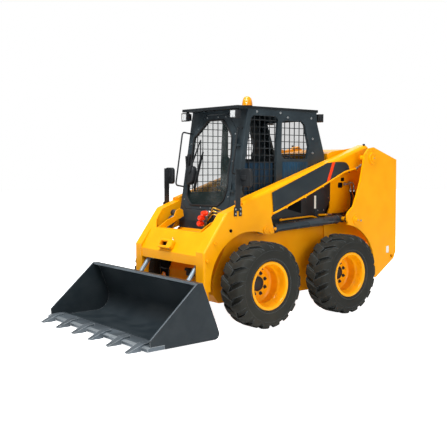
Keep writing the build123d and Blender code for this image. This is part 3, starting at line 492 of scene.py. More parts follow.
# %% Outline, plate and turned work
def grow_outline(points, closed=True):
    """Wire that starts as one vertex and is extruded from point to point."""
    calm()
    bpy.ops.mesh.primitive_plane_add(size=0.01, location=points[0])
    piece = bpy.context.object
    bpy.ops.object.mode_set(mode="EDIT")
    bpy.ops.mesh.select_mode(type="VERT")
    bpy.ops.mesh.merge(type="CENTER")
    for start, end in zip(points, points[1:]):
        bpy.ops.mesh.extrude_region_move(
            TRANSFORM_OT_translate={"value": tuple(Vector(end) - Vector(start))})
    bpy.ops.mesh.select_all(action="SELECT")
    if closed:
        bpy.ops.mesh.edge_face_add()
    bpy.ops.object.mode_set(mode="OBJECT")
    place_applied(piece)
    return piece


def outward(piece, merge=0.0001):
    """Merge doubles and turn all faces outwards."""
    choose(piece)
    bpy.ops.object.mode_set(mode="EDIT")
    bpy.ops.mesh.select_all(action="SELECT")
    bpy.ops.mesh.remove_doubles(threshold=merge)
    bpy.ops.mesh.normals_make_consistent(inside=False)
    bpy.ops.object.mode_set(mode="OBJECT")


def plate(points, pull):
    """Plate cut to an outline and pulled to its thickness."""
    piece = grow_outline(points)
    choose(piece)
    bpy.ops.object.mode_set(mode="EDIT")
    bpy.ops.mesh.select_all(action="SELECT")
    bpy.ops.mesh.extrude_region_move(TRANSFORM_OT_translate={"value": tuple(pull)})
    bpy.ops.object.mode_set(mode="OBJECT")
    outward(piece)
    return piece


def side_plate(x, outline, thick):
    """Plate from an outline of (y, z) stations at one x, pulled along X."""
    return plate([at(x, y, z) for y, z in outline], (thick, 0.0, 0.0))


def turned(profile, foot, axis=(0, 0, 1), steps=48, closed=False):
    """Profile of (along, radius) pairs, spun full circle about an axis through a foot."""
    foot, along = Vector(foot), Vector(axis)
    away = Vector((1, 0, 0)) if along.z else Vector((0, 0, 1))
    piece = grow_outline([foot + along * u + away * r for u, r in profile], closed=False)
    choose(piece)
    bpy.ops.object.mode_set(mode="EDIT")
    bpy.ops.mesh.select_all(action="SELECT")
    if closed:
        bpy.ops.mesh.edge_face_add()
        bpy.ops.mesh.delete(type="ONLY_FACE")
        bpy.ops.mesh.select_all(action="SELECT")
    bpy.ops.mesh.spin(steps=steps, angle=math.tau, center=tuple(foot), axis=tuple(along))
    bpy.ops.object.mode_set(mode="OBJECT")
    outward(piece)
    choose(piece)
    bpy.ops.object.shade_smooth_by_angle(angle=math.radians(32))
    return piece


# %% Blocks, rods and tubes
def block(low, high, width=0.0, segments=2):
    """Box between two corners, its edges rounded."""
    low, high = Vector(low), Vector(high)
    calm()
    bpy.ops.mesh.primitive_cube_add(size=1.0, location=(low + high) / 2, scale=high - low)
    piece = bpy.context.object
    place_applied(piece)
    if width:
        soften(piece, width=width, segments=segments)
    return piece


def rod(start, end, radius, sides=24, width=0.0, end_radius=None):
    """Round or hexagonal bar, or a cone, from one point to another."""
    start, end = Vector(start), Vector(end)
    turn_to = (end - start).to_track_quat("Z", "Y").to_euler()
    calm()
    tip_radius = radius if end_radius is None else end_radius
    bpy.ops.mesh.primitive_cone_add(vertices=sides, radius1=radius, radius2=tip_radius, rotation=turn_to,
                                    depth=(end - start).length, location=(start + end) / 2)
    piece = bpy.context.object
    place_applied(piece)
    if width:
        soften(piece, width=width)
    elif sides > 8:
        bpy.ops.object.shade_smooth_by_angle(angle=math.radians(30))
    return piece


def tube_along(path, radius):
    """Mesh tube with a round section whose middle runs through close points."""
    curve = bpy.data.curves.new("line", "CURVE")
    curve.dimensions = "3D"
    curve.bevel_depth = radius
    curve.bevel_resolution = 3
    curve.use_fill_caps = True
    spline = curve.splines.new("POLY")
    spline.points.add(len(path) - 1)
    for point, spot in zip(spline.points, path):
        point.co = (*spot, 1.0)
    piece = bpy.data.objects.new("line", curve)
    bpy.context.scene.collection.objects.link(piece)
    choose(piece)
    bpy.ops.object.convert(target="MESH")
    piece = bpy.context.object
    bpy.ops.object.shade_smooth_by_angle(angle=math.radians(40))
    return piece


def tube(points, radius, bend=0.04):
    """Tube bent along points, its corners rounded."""
    corner_steps = 6
    path = [Vector(points[0])]
    for before, corner, after in zip(points, points[1:], points[2:]):
        before, corner, after = Vector(before), Vector(corner), Vector(after)
        reach = min(bend, (corner - before).length * 0.48, (after - corner).length * 0.48)
        into = corner + (before - corner).normalized() * reach
        out_of = corner + (after - corner).normalized() * reach
        for step in range(corner_steps + 1):
            share = step / corner_steps
            path.append(into.lerp(corner, share).lerp(corner.lerp(out_of, share), share))
    return tube_along(path + [Vector(points[-1])], radius)


# %% Copies
def copy_moved(piece, matrix):
    """Copy with its own mesh, moved by a matrix."""
    double = piece.copy()
    double.data = piece.data.copy()
    bpy.context.scene.collection.objects.link(double)
    double.data.transform(matrix)
    if matrix.determinant() < 0:
        double.data.flip_normals()
    return double


across_x = Matrix.Scale(-1.0, 4, (1, 0, 0))


def both_sides(piece):
    """Piece, or a list of them, and its mirror image on the other side, as one."""
    piece = welded(piece)
    return welded([piece, copy_moved(piece, across_x)])


# %% [markdown]
# ## Bolts
#
# A bolt shows as a hexagonal head on a round washer. One is modelled flat on the ground at
# its size. Copies are then turned to face along a plate's normal and welded into one piece
# for each plate, which keeps the list of pieces short.

# %% One bolt, and rows of them
def bolt_head(size):
    """Washer and hexagon head, facing up at the origin."""
    washer = rod((0, 0, 0), (0, 0, size * 0.16), size * 0.72, sides=20, width=size * 0.05)
    head = rod((0, 0, size * 0.1), (0, 0, size * 0.6), size * 0.52, sides=6, width=size * 0.07)
    return welded([head, washer])


def bolts(spots, facing, size):
    """Row of bolts on a face."""
    first = bolt_head(size)
    turn_to = Vector(facing).to_track_quat("Z", "Y").to_matrix().to_4x4()
    row = [copy_moved(first, Matrix.Translation(Vector(spot)) @ turn_to) for spot in spots]
    bpy.data.objects.remove(first)
    return welded(row)


def side_bolts(x, spots, size):
    """Row of bolts that face along X, at (y, z) stations."""
    return bolts([at(x, y, z) for y, z in spots], (1, 0, 0), size)


# %% [markdown]
# ## Wheels
#
# The tyres are the broad kind for loose ground: a smooth carcass under thick bars that
# meet in arrows and run down over the shoulders. The carcass is an outline spun on the
# axle. One bar is a slanted box that keeps only what lies inside a turned ring, so its top
# follows the tread's crown and its end follows the shoulder. That is a boolean cut, and
# the bar is then rounded and copied round the tyre.

# %% Carcass and tread bars of one tyre
tread_radius = tyre_radius - 0.024
bar_count = 18
bar_slant = math.radians(24)
side_wall = [(0.117, 0.2085), (0.119, 0.222), (0.123, 0.232), (0.131, 0.240), (0.139, 0.252),
             (0.1365, 0.257), (0.143, 0.274), (0.1475, 0.294), (0.1482, 0.312), (0.1460, 0.330),
             (0.1470, 0.334), (0.1498, 0.337), (0.1498, 0.346), (0.1450, 0.356), (0.138, 0.364),
             (0.126, 0.3745), (0.108, 0.3800), (0.080, 0.3825), (0.045, 0.3838)]
axle_way, hub = (1, 0, 0), (0, 0, 0)
section = side_wall + [(0.0, tread_radius)] + [(-u, r) for u, r in reversed(side_wall)]
carcass = turned(section, hub, axle_way, steps=96, closed=True)

tip = [(0.147, 0.336), (0.1472, 0.352), (0.1425, 0.370), (0.133, 0.388), (0.121, 0.3995), (0.106, 0.4055),
       (0.085, 0.4080), (-0.03, 0.4080), (-0.03, 0.376), (0.110, 0.376), (0.140, 0.336)]
ring = turned(tip, hub, axle_way, steps=160, closed=True)
bar = block((-0.010, -0.033, 0.30), (0.175, 0.033, 0.45))
pick_faces(bar, lambda centre, normal: normal.z < -0.5)
bpy.ops.transform.resize(value=(1.0, 1.30, 1.0), center_override=(0.0, 0.0, 0.30))
bpy.ops.object.mode_set(mode="OBJECT")
bar.data.transform(Matrix.Rotation(bar_slant, 4, "Z"))
use_modifier(bar, "BOOLEAN", operation="INTERSECT", object=ring, solver="EXACT")
outward(bar, 0.0008)
soften(bar, width=0.003, segments=2, angle=40)
bpy.data.objects.remove(ring)
print("bar", len(bar.data.polygons), "faces")

# %% All bars of a tyre, and four tyres
bars = []
for index in range(bar_count):
    turn_by = math.tau / bar_count * index
    bars.append(copy_moved(bar, Matrix.Rotation(turn_by, 4, "X")))
    bars.append(copy_moved(bar, Matrix.Rotation(turn_by + math.pi / bar_count, 4, "X") @ across_x))
bpy.data.objects.remove(bar)
left_tyre = welded([carcass] + bars)
print("tyre", len(left_tyre.data.polygons), "faces")


def on_each_wheel(model, name, material, stands_for=None):
    """Put a copy of a left wheel's part, made at the origin, on all four wheels."""
    for corner in corners:
        matrix = Matrix.Translation(box_middle(f"tyre_{corner}"))
        if corner.endswith("right"):
            matrix = matrix @ across_x
        part = copy_moved(model, matrix)
        settle(part, f"{name}_{corner}", material, f"wheel_{corner}")
        if stands_for:
            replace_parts(part, f"{stands_for}_{corner}")
    bpy.data.objects.remove(model)


on_each_wheel(left_tyre, "treaded_tyre", rubber, stands_for="tyre")

# %% [markdown]
# The rim is pressed steel: a rolled lip holds the tyre, the wall steps down to a well, and
# a flat disc stands inside it, bolted to the hub. All of that is one spun outline. The
# disc's bolt circle sits on a low raised ring, which a plain disc would miss.

# %% Rims
rim_outline = [(-0.117, 0.207), (-0.117, 0.227), (-0.1205, 0.2295), (-0.126, 0.228), (-0.1275, 0.222),
               (-0.125, 0.204), (-0.120, 0.1995), (-0.092, 0.199), (-0.080, 0.186), (-0.074, 0.181),
               (-0.074, 0.071), (-0.066, 0.069), (-0.062, 0.0715), (-0.062, 0.080), (-0.058, 0.084),
               (-0.058, 0.122), (-0.063, 0.128), (-0.064, 0.150), (-0.060, 0.166), (-0.050, 0.176),
               (0.018, 0.178), (0.027, 0.1765), (0.033, 0.1780), (0.043, 0.186), (0.056, 0.1925),
               (0.094, 0.1975), (0.1180, 0.1995), (0.1240, 0.2035), (0.1268, 0.213), (0.1278, 0.222),
               (0.1262, 0.2280), (0.1215, 0.2300), (0.1175, 0.2275), (0.117, 0.207), (0.060, 0.206),
               (0.044, 0.197), (0.030, 0.188), (-0.064, 0.187), (-0.078, 0.207)]
rim = turned(rim_outline, hub, axle_way, steps=96, closed=True)
on_each_wheel(rim, "dished_rim", yellow_rim, stands_for="rim")

# %% [markdown]
# Eight nuts hold the wheel. Each is a hexagon with a chamfered top on a washer, with the
# stud's end standing out of it. A valve stem leaves the rim's well, and a domed cap closes
# the hub.

# %% Wheel nuts, valve and hub cap
stud_circle = 0.103
nut_face = -0.058
nut = bolt_head(0.026)
stud = rod((0, 0, 0), (0, 0, 0.024), 0.0075, sides=12, width=0.0015)
nut = welded([nut, stud])
to_face = Matrix.Rotation(math.pi / 2, 4, "Y")
ring_of_nuts = []
for index in range(8):
    around = Matrix.Rotation(math.tau / 8 * (index + 0.5), 4, "X")
    out_to = Matrix.Translation((nut_face, 0.0, stud_circle))
    ring_of_nuts.append(copy_moved(nut, around @ out_to @ to_face))
bpy.data.objects.remove(nut)
on_each_wheel(welded(ring_of_nuts), "wheel_nuts", black_iron)

cap_outline = [(-0.0495, 0.0), (-0.0495, 0.0695), (-0.0465, 0.0692), (-0.0445, 0.066), (-0.0440, 0.050),
               (-0.0415, 0.046), (-0.0405, 0.030), (-0.0405, 0.0)]
hub_cap = turned(cap_outline, hub, axle_way, closed=True)
on_each_wheel(hub_cap, "hub_cap", black_iron)

stem = tube([(-0.052, 0.0, 0.166), (-0.028, 0.0, 0.158), (0.008, 0.0, 0.148)], 0.0045, bend=0.02)
stem_cap = rod((0.002, 0.0, 0.1497), (0.020, 0.0, 0.1447), 0.0062, sides=12, width=0.0012)
on_each_wheel(welded([stem, stem_cap]), "valve_stem", plastic)
print("wheels dressed")

# %% [markdown]
# ## Dressing the cab
#
# The cab's front leans back a little, and the door lies in that plane. A helper turns a
# place on the plane, across, up and out of it, into a point of the machine, so the wiper
# and seal can be modelled with the numbers that a fitter would read off a flat door.

# %% Places on the leaning front
lean = math.atan(0.165)
face_foot = at(0.0, -0.617, 1.269)


def on_face(across, up, out):
    """Point on the leaning front: across, up the face, and out of it."""
    return face_foot + Vector((across, math.sin(lean) * up - math.cos(lean) * out,
                               math.cos(lean) * up + math.sin(lean) * out))


face_out = on_face(0, 0, 1) - on_face(0, 0, 0)

# %% [markdown]
# A rubber seal holds the pane in the door. It is a tube along the window's outline, closed
# on itself, so no end shows. A round section is close to the real extruded bead.

# %% Window seal
window = [(-0.272, -0.155), (-0.350, -0.075), (-0.352, 0.545), (-0.262, 0.612), (-0.150, 0.716),
          (0.096, 0.716), (0.254, 0.551), (0.278, 0.373), (0.272, 0.159), (0.286, 0.040),
          (0.250, -0.090), (0.165, -0.148)]
start = ((window[0][0] + window[-1][0]) / 2, (window[0][1] + window[-1][1]) / 2)
seal = tube([on_face(a, u, 0.004) for a, u in [start] + window + [start]], 0.009, bend=0.03)
settle(seal, "door_window_seal", hose_rubber, "cab_door")

# %% [markdown]
# The wiper has three parts: a cover over its motor, an arm that thins towards its end, and
# a blade that lies across the glass. The cover is a block whose upright edges are rounded
# far more than its rim, which two bevels in turn give.

# %% Wiper
def round_long_edges(piece, axis, corner, segments):
    """Round the edges of a plain block that run along one axis (0, 1 or 2)."""
    edit(piece, "EDGE")
    places = [vertex.co[axis] for vertex in piece.data.vertices]
    for edge in piece.data.edges:
        start, end = [piece.data.vertices[index].co[axis] for index in edge.vertices]
        edge.select = abs(start - end) > (max(places) - min(places)) * 0.9
    bpy.ops.object.mode_set(mode="EDIT")
    bpy.ops.mesh.bevel(offset=corner, segments=segments, affect="EDGES")
    bpy.ops.object.mode_set(mode="OBJECT")


def pad_on_face(across, up, wide, tall, deep, corner, rim):
    """Rounded block standing on the door's frame in the leaning front."""
    piece = block((-wide / 2, -tall / 2, 0.0), (wide / 2, tall / 2, deep))
    round_long_edges(piece, 2, corner, 7)
    pick_faces(piece, lambda centre, normal: normal.z > 0.9)
    bpy.ops.mesh.bevel(offset=rim, segments=3, affect="EDGES")
    bpy.ops.object.mode_set(mode="OBJECT")
    bpy.ops.object.shade_smooth_by_angle(angle=math.radians(35))
    face_up = on_face(0, 1, 0) - on_face(0, 0, 0)
    lay_on_face = Matrix((Vector((1, 0, 0)), face_up, face_out)).transposed().to_4x4()
    piece.data.transform(Matrix.Translation(on_face(across, up, 0.002)) @ lay_on_face)
    return piece


motor_cover = pad_on_face(-0.300, 0.150, 0.125, 0.195, 0.052, 0.060, 0.014)
knob = rod(on_face(-0.283, 0.190, 0.045), on_face(-0.283, 0.190, 0.072), 0.017, width=0.003)
settle([motor_cover, knob], "wiper_motor_cover", plastic, "cab_door")

arm = rod(on_face(-0.283, 0.190, 0.062), on_face(-0.203, 0.515, 0.030), 0.011, sides=12,
          end_radius=0.006)
spine = rod(on_face(-0.173, 0.360, 0.022), on_face(-0.228, 0.020, 0.022), 0.007, sides=10, width=0.001)
bridge = rod(on_face(-0.203, 0.515, 0.030), on_face(-0.178, 0.335, 0.026), 0.006, sides=10)
blade_line = [(-0.166, 0.395), (-0.160, 0.395), (-0.222, -0.010), (-0.228, -0.010)]
blade = plate([on_face(a, u, 0.002) for a, u in blade_line], face_out * 0.018)
settle([arm, spine, bridge, blade], "wiper_arm_and_blade", plastic, "cab_door")

# %% [markdown]
# A latch lever sits at the door's free edge. Screws run round the frame where the door's
# skin is fixed.

# %% Door latch and screws
latch = pad_on_face(-0.385, 0.300, 0.040, 0.150, 0.030, 0.016, 0.008)
lever = rod(on_face(-0.385, 0.255, 0.030), on_face(-0.385, 0.345, 0.052), 0.011, sides=16, width=0.003)
settle([latch, lever], "door_latch", plastic, "cab_door")
screw_spots = [(-0.385, -0.10), (-0.385, 0.10), (-0.385, 0.48), (-0.300, 0.630), (-0.175, 0.748),
               (0.000, 0.748), (0.125, 0.748), (0.300, 0.570), (0.310, 0.30), (0.310, -0.05),
               (-0.100, -0.172), (0.060, -0.172)]
screws = bolts([on_face(a, u, 0.002) for a, u in screw_spots], face_out, 0.011)
settle(screws, "door_screws", zinc, "cab_door")

# %% [markdown]
# ## Lamps and beacon
#
# Work lamps hang under the roof's corners. Each has a rounded housing with cooling fins
# behind, a thin bezel, and a fluted lens. One lamp is modelled at the origin, facing
# forwards, and copied to the four corners. The rear pair is turned about.

# %% Work lamps
lamp_wide, lamp_tall, lamp_deep = 0.085, 0.083, 0.075
half, high = lamp_wide / 2, lamp_tall / 2

body = [block((-half, 0.006, -high), (half, lamp_deep * 0.72, high), width=0.009, segments=3)]
rim = block((-half - 0.002, -0.001, -high - 0.002), (half + 0.002, 0.010, high + 0.002), width=0.004)
pick_faces(rim, lambda centre, normal: normal.y < -0.9 and abs(centre.x) < lamp_wide * 0.4)
bpy.ops.mesh.inset(thickness=0.007, depth=-0.004)
bpy.ops.object.mode_set(mode="OBJECT")
body.append(rim)
for index in range(7):
    x = (index - 3) * lamp_wide / 8
    body.append(block((x - 0.0015, lamp_deep * 0.68, -high * 0.84), (x + 0.0015, lamp_deep, high * 0.84)))
body = welded(body)

glass = [block((0.008 - half, -0.0008, 0.008 - high), (half - 0.008, 0.004, high - 0.008),
               width=0.003, segments=3)]
for index in range(8):
    x = (index - 3.5) * (lamp_wide - 0.026) / 8
    glass.append(rod((x, 0.0012, 0.012 - high), (x, 0.0012, high - 0.012), 0.0026, sides=10))
glass = welded(glass)

front_spot = Vector((0.3875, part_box("front_lamps")[0].y + 0.001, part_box("front_lamps")[0].z + high))
rear_spot = Vector((0.3775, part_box("rear_lamps")[1].y - 0.001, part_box("rear_lamps")[0].z + 0.045))
about_face = Matrix.Rotation(math.pi, 4, "Z")
for end, spot, turn_by, stems in (
        ("front", front_spot, Matrix(), [(-0.600, 2.052, -0.576, 2.0697)]),
        ("rear", rear_spot, about_face, [(0.484, 2.030, 0.535, 2.048), (0.470, 2.030, 0.489, 2.0697)])):
    housings, lenses = [], []
    for x in (-spot.x, spot.x):
        place_lamp = Matrix.Translation((x, spot.y, spot.z)) @ turn_by
        housings.append(copy_moved(body, place_lamp))
        lenses.append(copy_moved(glass, place_lamp))
        housings += [block(at(x - 0.012, near_y, low_z), at(x + 0.012, far_y, high_z), width=0.003)
                     for near_y, low_z, far_y, high_z in stems]
    housing = settle(housings, f"{end}_lamp_housings", plastic)
    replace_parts(housing, f"{end}_lamps")
    settle(lenses, f"{end}_lamp_lenses", lamp_lens)
bpy.data.objects.remove(body)
bpy.data.objects.remove(glass)

# %% [markdown]
# The beacon is a ribbed amber dome on a rubber foot. Ring after ring of small lens steps is
# one wavy outline spun upright.

# %% Beacon
beacon_spot = box_middle("beacon_dome")
beacon_spot.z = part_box("beacon_base")[0].z
foot_outline = [(0.0, 0.0), (0.0, 0.0565), (0.004, 0.0575), (0.009, 0.055), (0.013, 0.050), (0.0178, 0.049),
                (0.0178, 0.0)]
foot = turned(foot_outline, beacon_spot, closed=True)
settle(foot, "beacon_foot", plastic)
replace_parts(foot, "beacon_base")

dome_outline = [(0.0180, 0.0), (0.0180, 0.0520), (0.024, 0.0528)]
for index in range(8):
    z = 0.027 + index * 0.0062
    crest = 0.0524 - 0.0070 * (index / 7) ** 1.4
    dome_outline += [(z, crest), (z + 0.0031, crest - 0.0016)]
dome_outline += [(0.079, 0.0420), (0.089, 0.0385), (0.099, 0.0320), (0.1056, 0.0220), (0.1092, 0.0105),
                 (0.1105, 0.0)]
dome = turned(dome_outline, beacon_spot, steps=56, closed=True)
settle(dome, "beacon_lens", amber_band)
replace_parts(dome, "beacon_dome")

# %% [markdown]
# ## The cab's sides and roof
#
# Silver bolts hold the roof to its posts. Low on each side, behind the boom, two dark
# panels close the cab down to the tub, and a pale strip covers their joint on the left.
# Inside, the back wall and the rear quarters are lined with blue sheet, stiffened by thin
# ribs. All of these are flat plates, because they are plain pressings.

# %% Side bolts, panels and lining
rib_pitch = 0.044


def rib_row(low_x, high_x, first_y, count, foot_z, top_z, rise=0.0, half=0.006, width=0.002):
    """Upright ribs, one every rib pitch, their feet rising along the row."""
    steps = [index * rib_pitch for index in range(count)]
    return [block(at(low_x, first_y + step - half, foot_z + rise * step),
                  at(high_x, first_y + step + half, top_z), width=width) for step in steps]


side_spots = [(-0.370, 2.047), (-0.053, 2.047), (0.051, 2.005), (0.389, 2.010), (0.415, 1.652),
              (0.415, 1.800)]
row = side_bolts(0.438, side_spots, 0.017)
settle(both_sides(row), "cab_side_bolts", zinc)

panel_x, panel_bolt_x = 0.4385, 0.4378
panel = side_plate(panel_x, [(0.470, 1.010), (0.603, 1.010), (0.695, 1.158), (0.700, 1.335),
                             (0.640, 1.440), (0.470, 1.440)], 0.003)
soften(panel, width=0.0012)
settle(both_sides(panel), "side_closing_panels", black_iron)
panel_bolts = side_bolts(panel_bolt_x, [(0.500, 1.395), (0.640, 1.395), (0.662, 1.180), (0.590, 1.050),
                                        (0.500, 1.050)], 0.014)
settle(both_sides(panel_bolts), "closing_panel_bolts", zinc)
low_line = [(-0.420, 0.965), (0.462, 0.965), (0.462, 1.425), (0.345, 1.410), (-0.020, 1.290),
            (-0.060, 1.190), (-0.420, 1.190)]
low_panel = side_plate(panel_x, low_line, 0.003)
soften(low_panel, width=0.0012)
settle(both_sides(low_panel), "lower_side_panels", black_iron)
# A flat black triangle on each closing panel is painted shade, standing for a recess.
pocket_shade = side_plate(0.4413, [(0.030, 1.085), (0.250, 1.030), (0.250, 1.185)], 0.0012)
settle(both_sides(pocket_shade), "side_panel_pocket_shades", shadow_black)
low_bolts = side_bolts(panel_bolt_x, [(-0.380, 1.000), (-0.120, 1.000), (0.140, 1.000), (0.380, 1.000),
                                      (0.320, 1.150), (0.020, 1.225), (0.330, 1.330)], 0.013)
settle(both_sides(low_bolts), "lower_panel_bolts", black_iron)
strip = side_plate(0.4414, [(0.446, 1.071), (0.473, 1.071), (0.473, 1.206), (0.446, 1.206)], 0.001)
settle(strip, "pale_side_strip", pale_film)

# lining of the cab's rear: one sheet follows the stepped back wall, one lies on each quarter
back_line = [(0.574, 1.582), (0.574, 1.424), (0.522, 1.322), (0.522, 1.120), (0.517, 1.120),
             (0.517, 1.3235), (0.568, 1.4255), (0.568, 1.582)]
lining = [side_plate(-0.416, back_line, 0.832)]
raised_line = [(y - 0.006, z) for y, z in back_line]
lining += [side_plate(-0.380 + index * rib_pitch, raised_line, 0.012) for index in range(18)]
quarter_line = [(-0.010, 1.180), (0.515, 1.180), (0.515, 1.320), (0.562, 1.430), (0.562, 1.582),
                (-0.010, 1.582)]
for side in (-1, 1):
    lining.append(side_plate(0.4195 * side, quarter_line, 0.005 * side))
    lining += rib_row(*sorted([0.4125 * side, 0.4200 * side]), 0.014, 11, 1.190, 1.572)
settle(lining, "cab_rear_lining", lining_blue)

# a sheet behind the left mesh, up to the height of the sill
sheet_line = [(-0.520, 1.200), (-0.110, 1.200), (-0.110, 1.560), (-0.495, 1.560)]
sheets = [side_plate(0.384, sheet_line, 0.004)]
sheets += rib_row(0.387, 0.394, -0.485, 9, 1.210, 1.550, half=0.007)
settle(sheets, "left_side_sheet", lining_blue)

# outer skin under the rear side window, ribbed like the sheet
skin = [side_plate(panel_x, [(-0.020, 1.300), (0.345, 1.420), (0.345, 1.560), (-0.020, 1.560)], 0.003)]
skin_slope = 0.12 / 0.365
skin += rib_row(0.4405, 0.4455, 0.005, 8, 1.324 + 0.025 * skin_slope, 1.548, rise=skin_slope, width=0.0015)
settle(both_sides(skin), "rear_quarter_skins", blue_panel)

# %% Roof
roof_low, roof_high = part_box("cab_roof")
pressed = []
for x in (-0.24, 0.02, 0.24):
    low_y = roof_low.y + 0.10 if x < 0.2 else roof_low.y + 0.42
    pressed.append(block((x - 0.05, low_y, roof_high.z - 0.004),
                         (x + 0.05, roof_high.y - 0.10, roof_high.z + 0.008), width=0.006, segments=3))
settle(pressed, "roof_ribs", roof_paint)

# %% [markdown]
# ## Mirrors
#
# A mirror is a shallow shell with a big corner radius, its glass let into the rear, and a
# clamp that grips the post. The shell starts as a block whose four long edges are bevelled
# first.

# %% Mirrors
def soft_cornered(low, high, corner, rim=0.0, axis=0):
    """Block with large corners about one axis and a small radius on its rims."""
    piece = block(low, high)
    round_long_edges(piece, axis, corner, 6)
    if rim:
        soften(piece, width=rim, segments=3, angle=60)
    else:
        bpy.ops.object.shade_smooth_by_angle(angle=math.radians(35))
    return piece


shells, panes = [], []
mirror_low, mirror_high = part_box("mirrors")
for low_x, high_x, clamp_x in ((0.575, 0.715, 0.577), (-0.650, -0.510, -0.577)):
    shells.append(soft_cornered((low_x, mirror_low.y + 0.0005, mirror_low.z),
                                (high_x, mirror_high.y - 0.002, mirror_high.z), 0.034, 0.010, axis=1))
    panes.append(soft_cornered((low_x + 0.009, mirror_high.y - 0.004, mirror_low.z + 0.009),
                               (high_x - 0.009, mirror_high.y - 0.0005, mirror_high.z - 0.009), 0.027,
                               axis=1))
    clamp_ends = sorted([(low_x + high_x) / 2, clamp_x])
    clamp_z = (mirror_low.z + mirror_high.z) / 2
    shells.append(block((clamp_ends[0] - 0.014, mirror_low.y - 0.006, clamp_z - 0.022),
                        (clamp_ends[1] + 0.014, mirror_low.y + 0.016, clamp_z + 0.022), width=0.004))
mirror_shells = welded(shells)
settle(mirror_shells, "mirror_shells", plastic, "boom")
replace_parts(mirror_shells, "mirrors")
settle(panes, "mirror_glass", mirror_silver, "boom")

post_feet = side_bolts(0.5785, [(-0.758, 1.075), (-0.698, 1.075), (-0.758, 1.118), (-0.698, 1.118)], 0.013)
settle(both_sides(post_feet), "mirror_post_bolts", zinc, "boom")
print("cab dressed")

# %% [markdown]
# ## Dressing the boom
#
# A dark band runs back along each arm and ends in a round nose. A red-orange slash crosses
# it. Both are film, so they are thin plates just proud of the paint, the slash outermost.
# The nose is drawn as an arc, and the rest follows the arm's edges.

# %% Band and slash
arm_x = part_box("boom_arm_left")[1].x
film = 0.0006


def arc(centre, radius, first, last, steps):
    """Points (y, z) on an arc, angles in degrees."""
    angles = [math.radians(first + (last - first) * step / steps) for step in range(steps + 1)]
    return [(centre[0] + radius * math.cos(a), centre[1] + radius * math.sin(a)) for a in angles]


band_edge = [(-0.291, 1.262), (0.491, 1.549), (0.560, 1.556), (0.630, 1.559), (0.735, 1.559)]
band_edge += arc((0.745, 1.459), 0.100, 82, -10, 12)
band_edge += [(0.790, 1.462), (-0.271, 1.066)]
band = side_plate(arm_x, band_edge, film)
settle(both_sides(band), "arm_bands", slate_film, "boom")
slash = side_plate(arm_x + film, [(0.571, 1.5575), (0.616, 1.5590), (0.538, 1.369), (0.487, 1.350)],
                   film / 2)
settle(both_sides(slash), "arm_slashes", slash_film, "boom")

# %% [markdown]
# A steel line runs under each arm, held by low clips, and turns up into a hose fitting at
# the tower. On real machines it feeds the tilt cylinders. A bent tube along a short list of
# points gives it.

# %% Steel lines under the arms
line_x = 0.5755
under_arm = [(-0.276, 1.056), (-0.101, 1.114), (0.300, 1.262), (0.776, 1.458), (0.899, 1.480),
             (0.954, 1.486)]
line = tube([at(line_x, y, z) for y, z in under_arm], 0.0095, bend=0.03)
clips = []
for y, z in ((-0.101, 1.114), (0.160, 1.208), (0.420, 1.311), (0.660, 1.410)):
    clips.append(block(at(arm_x - 0.004, y - 0.010, z - 0.011), at(arm_x + 0.0185, y + 0.010, z + 0.012),
                       width=0.003))
settle(both_sides([line] + clips), "arm_steel_lines", yellow, "boom")

fitting_from, fitting_to = at(line_x, 0.950, 1.485), at(line_x, 1.040, 1.530)
along = (fitting_to - fitting_from).normalized()
parts = [rod(fitting_from, fitting_from + along * 0.022, 0.017, sides=6, width=0.0015),
         rod(fitting_from + along * 0.022, fitting_from + along * 0.070, 0.011, width=0.002),
         rod(fitting_from + along * 0.066, fitting_to, 0.015, sides=6, width=0.0015)]
settle(both_sides(parts), "arm_line_fittings", zinc, "boom")

# %% [markdown]
# Pins show as round bosses. The boom's front has one at each foot and at the lift
# cylinder's eye; a low ring with a domed middle is turned for each.

# %% Bosses on the arms
def pin_cap(centre, radius, proud):
    """Turned pin end that faces +X: rim, groove and greased middle."""
    shares = [(0.0, 1.0), (0.55, 1.0), (0.75, 0.93), (0.75, 0.72), (0.45, 0.66), (0.45, 0.58), (1.0, 0.50),
              (1.0, 0.12), (1.3, 0.10), (1.35, 0.0), (0.0, 0.0)]
    profile = [(proud * along, radius * away) for along, away in shares]
    return turned(profile, centre, (1, 0, 0), steps=40)


cap_spots = [(-0.362, 0.897, 0.034), (-1.089, 0.658, 0.022), (-0.997, 0.811, 0.020), (-0.245, 0.905, 0.016)]
caps = [pin_cap(at(arm_x, y, z), radius, 0.007) for y, z, radius in cap_spots]
settle(both_sides(caps), "arm_pin_caps", yellow, "boom")
# A thin black disc on each arm is painted shade, standing for the prop's hole.
hole = rod(at(arm_x - 0.004, -0.813, 0.917), at(arm_x + 0.0008, -0.813, 0.917), 0.015, sides=28)
settle(both_sides(hole), "arm_prop_hole_shades", shadow_black, "boom")

# %% [markdown]
# ## Couplings
#
# Three quick couplings stand on a bracket inside the left arm. Each is a knurled silver
# body under a red dust cap. The cap is turned with ribs for the fingers; the body is a
# stepped round with a hexagon, and a steel line leaves it for the arm.

# %% Quick couplings with red caps
base_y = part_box("auxiliary_couplers")[1].y
coupler_spots = [(0.303, 1.070), (0.256, 1.024), (0.241, 0.970)]
forwards = (0, -1, 0)


def coupling(x, z):
    """Silver body of one coupling, pointing forwards."""
    shape = [(0.0, 0.0), (0.0, 0.019), (0.010, 0.019), (0.012, 0.0165), (0.018, 0.0165), (0.020, 0.0205),
             (0.036, 0.0205), (0.038, 0.018), (0.052, 0.018), (0.052, 0.0)]
    body = turned(shape, (x, base_y, z), forwards, steps=32)
    nut = rod((x, base_y - 0.002, z), (x, base_y - 0.016, z), 0.0235, sides=6, width=0.0015)
    return welded([body, nut])


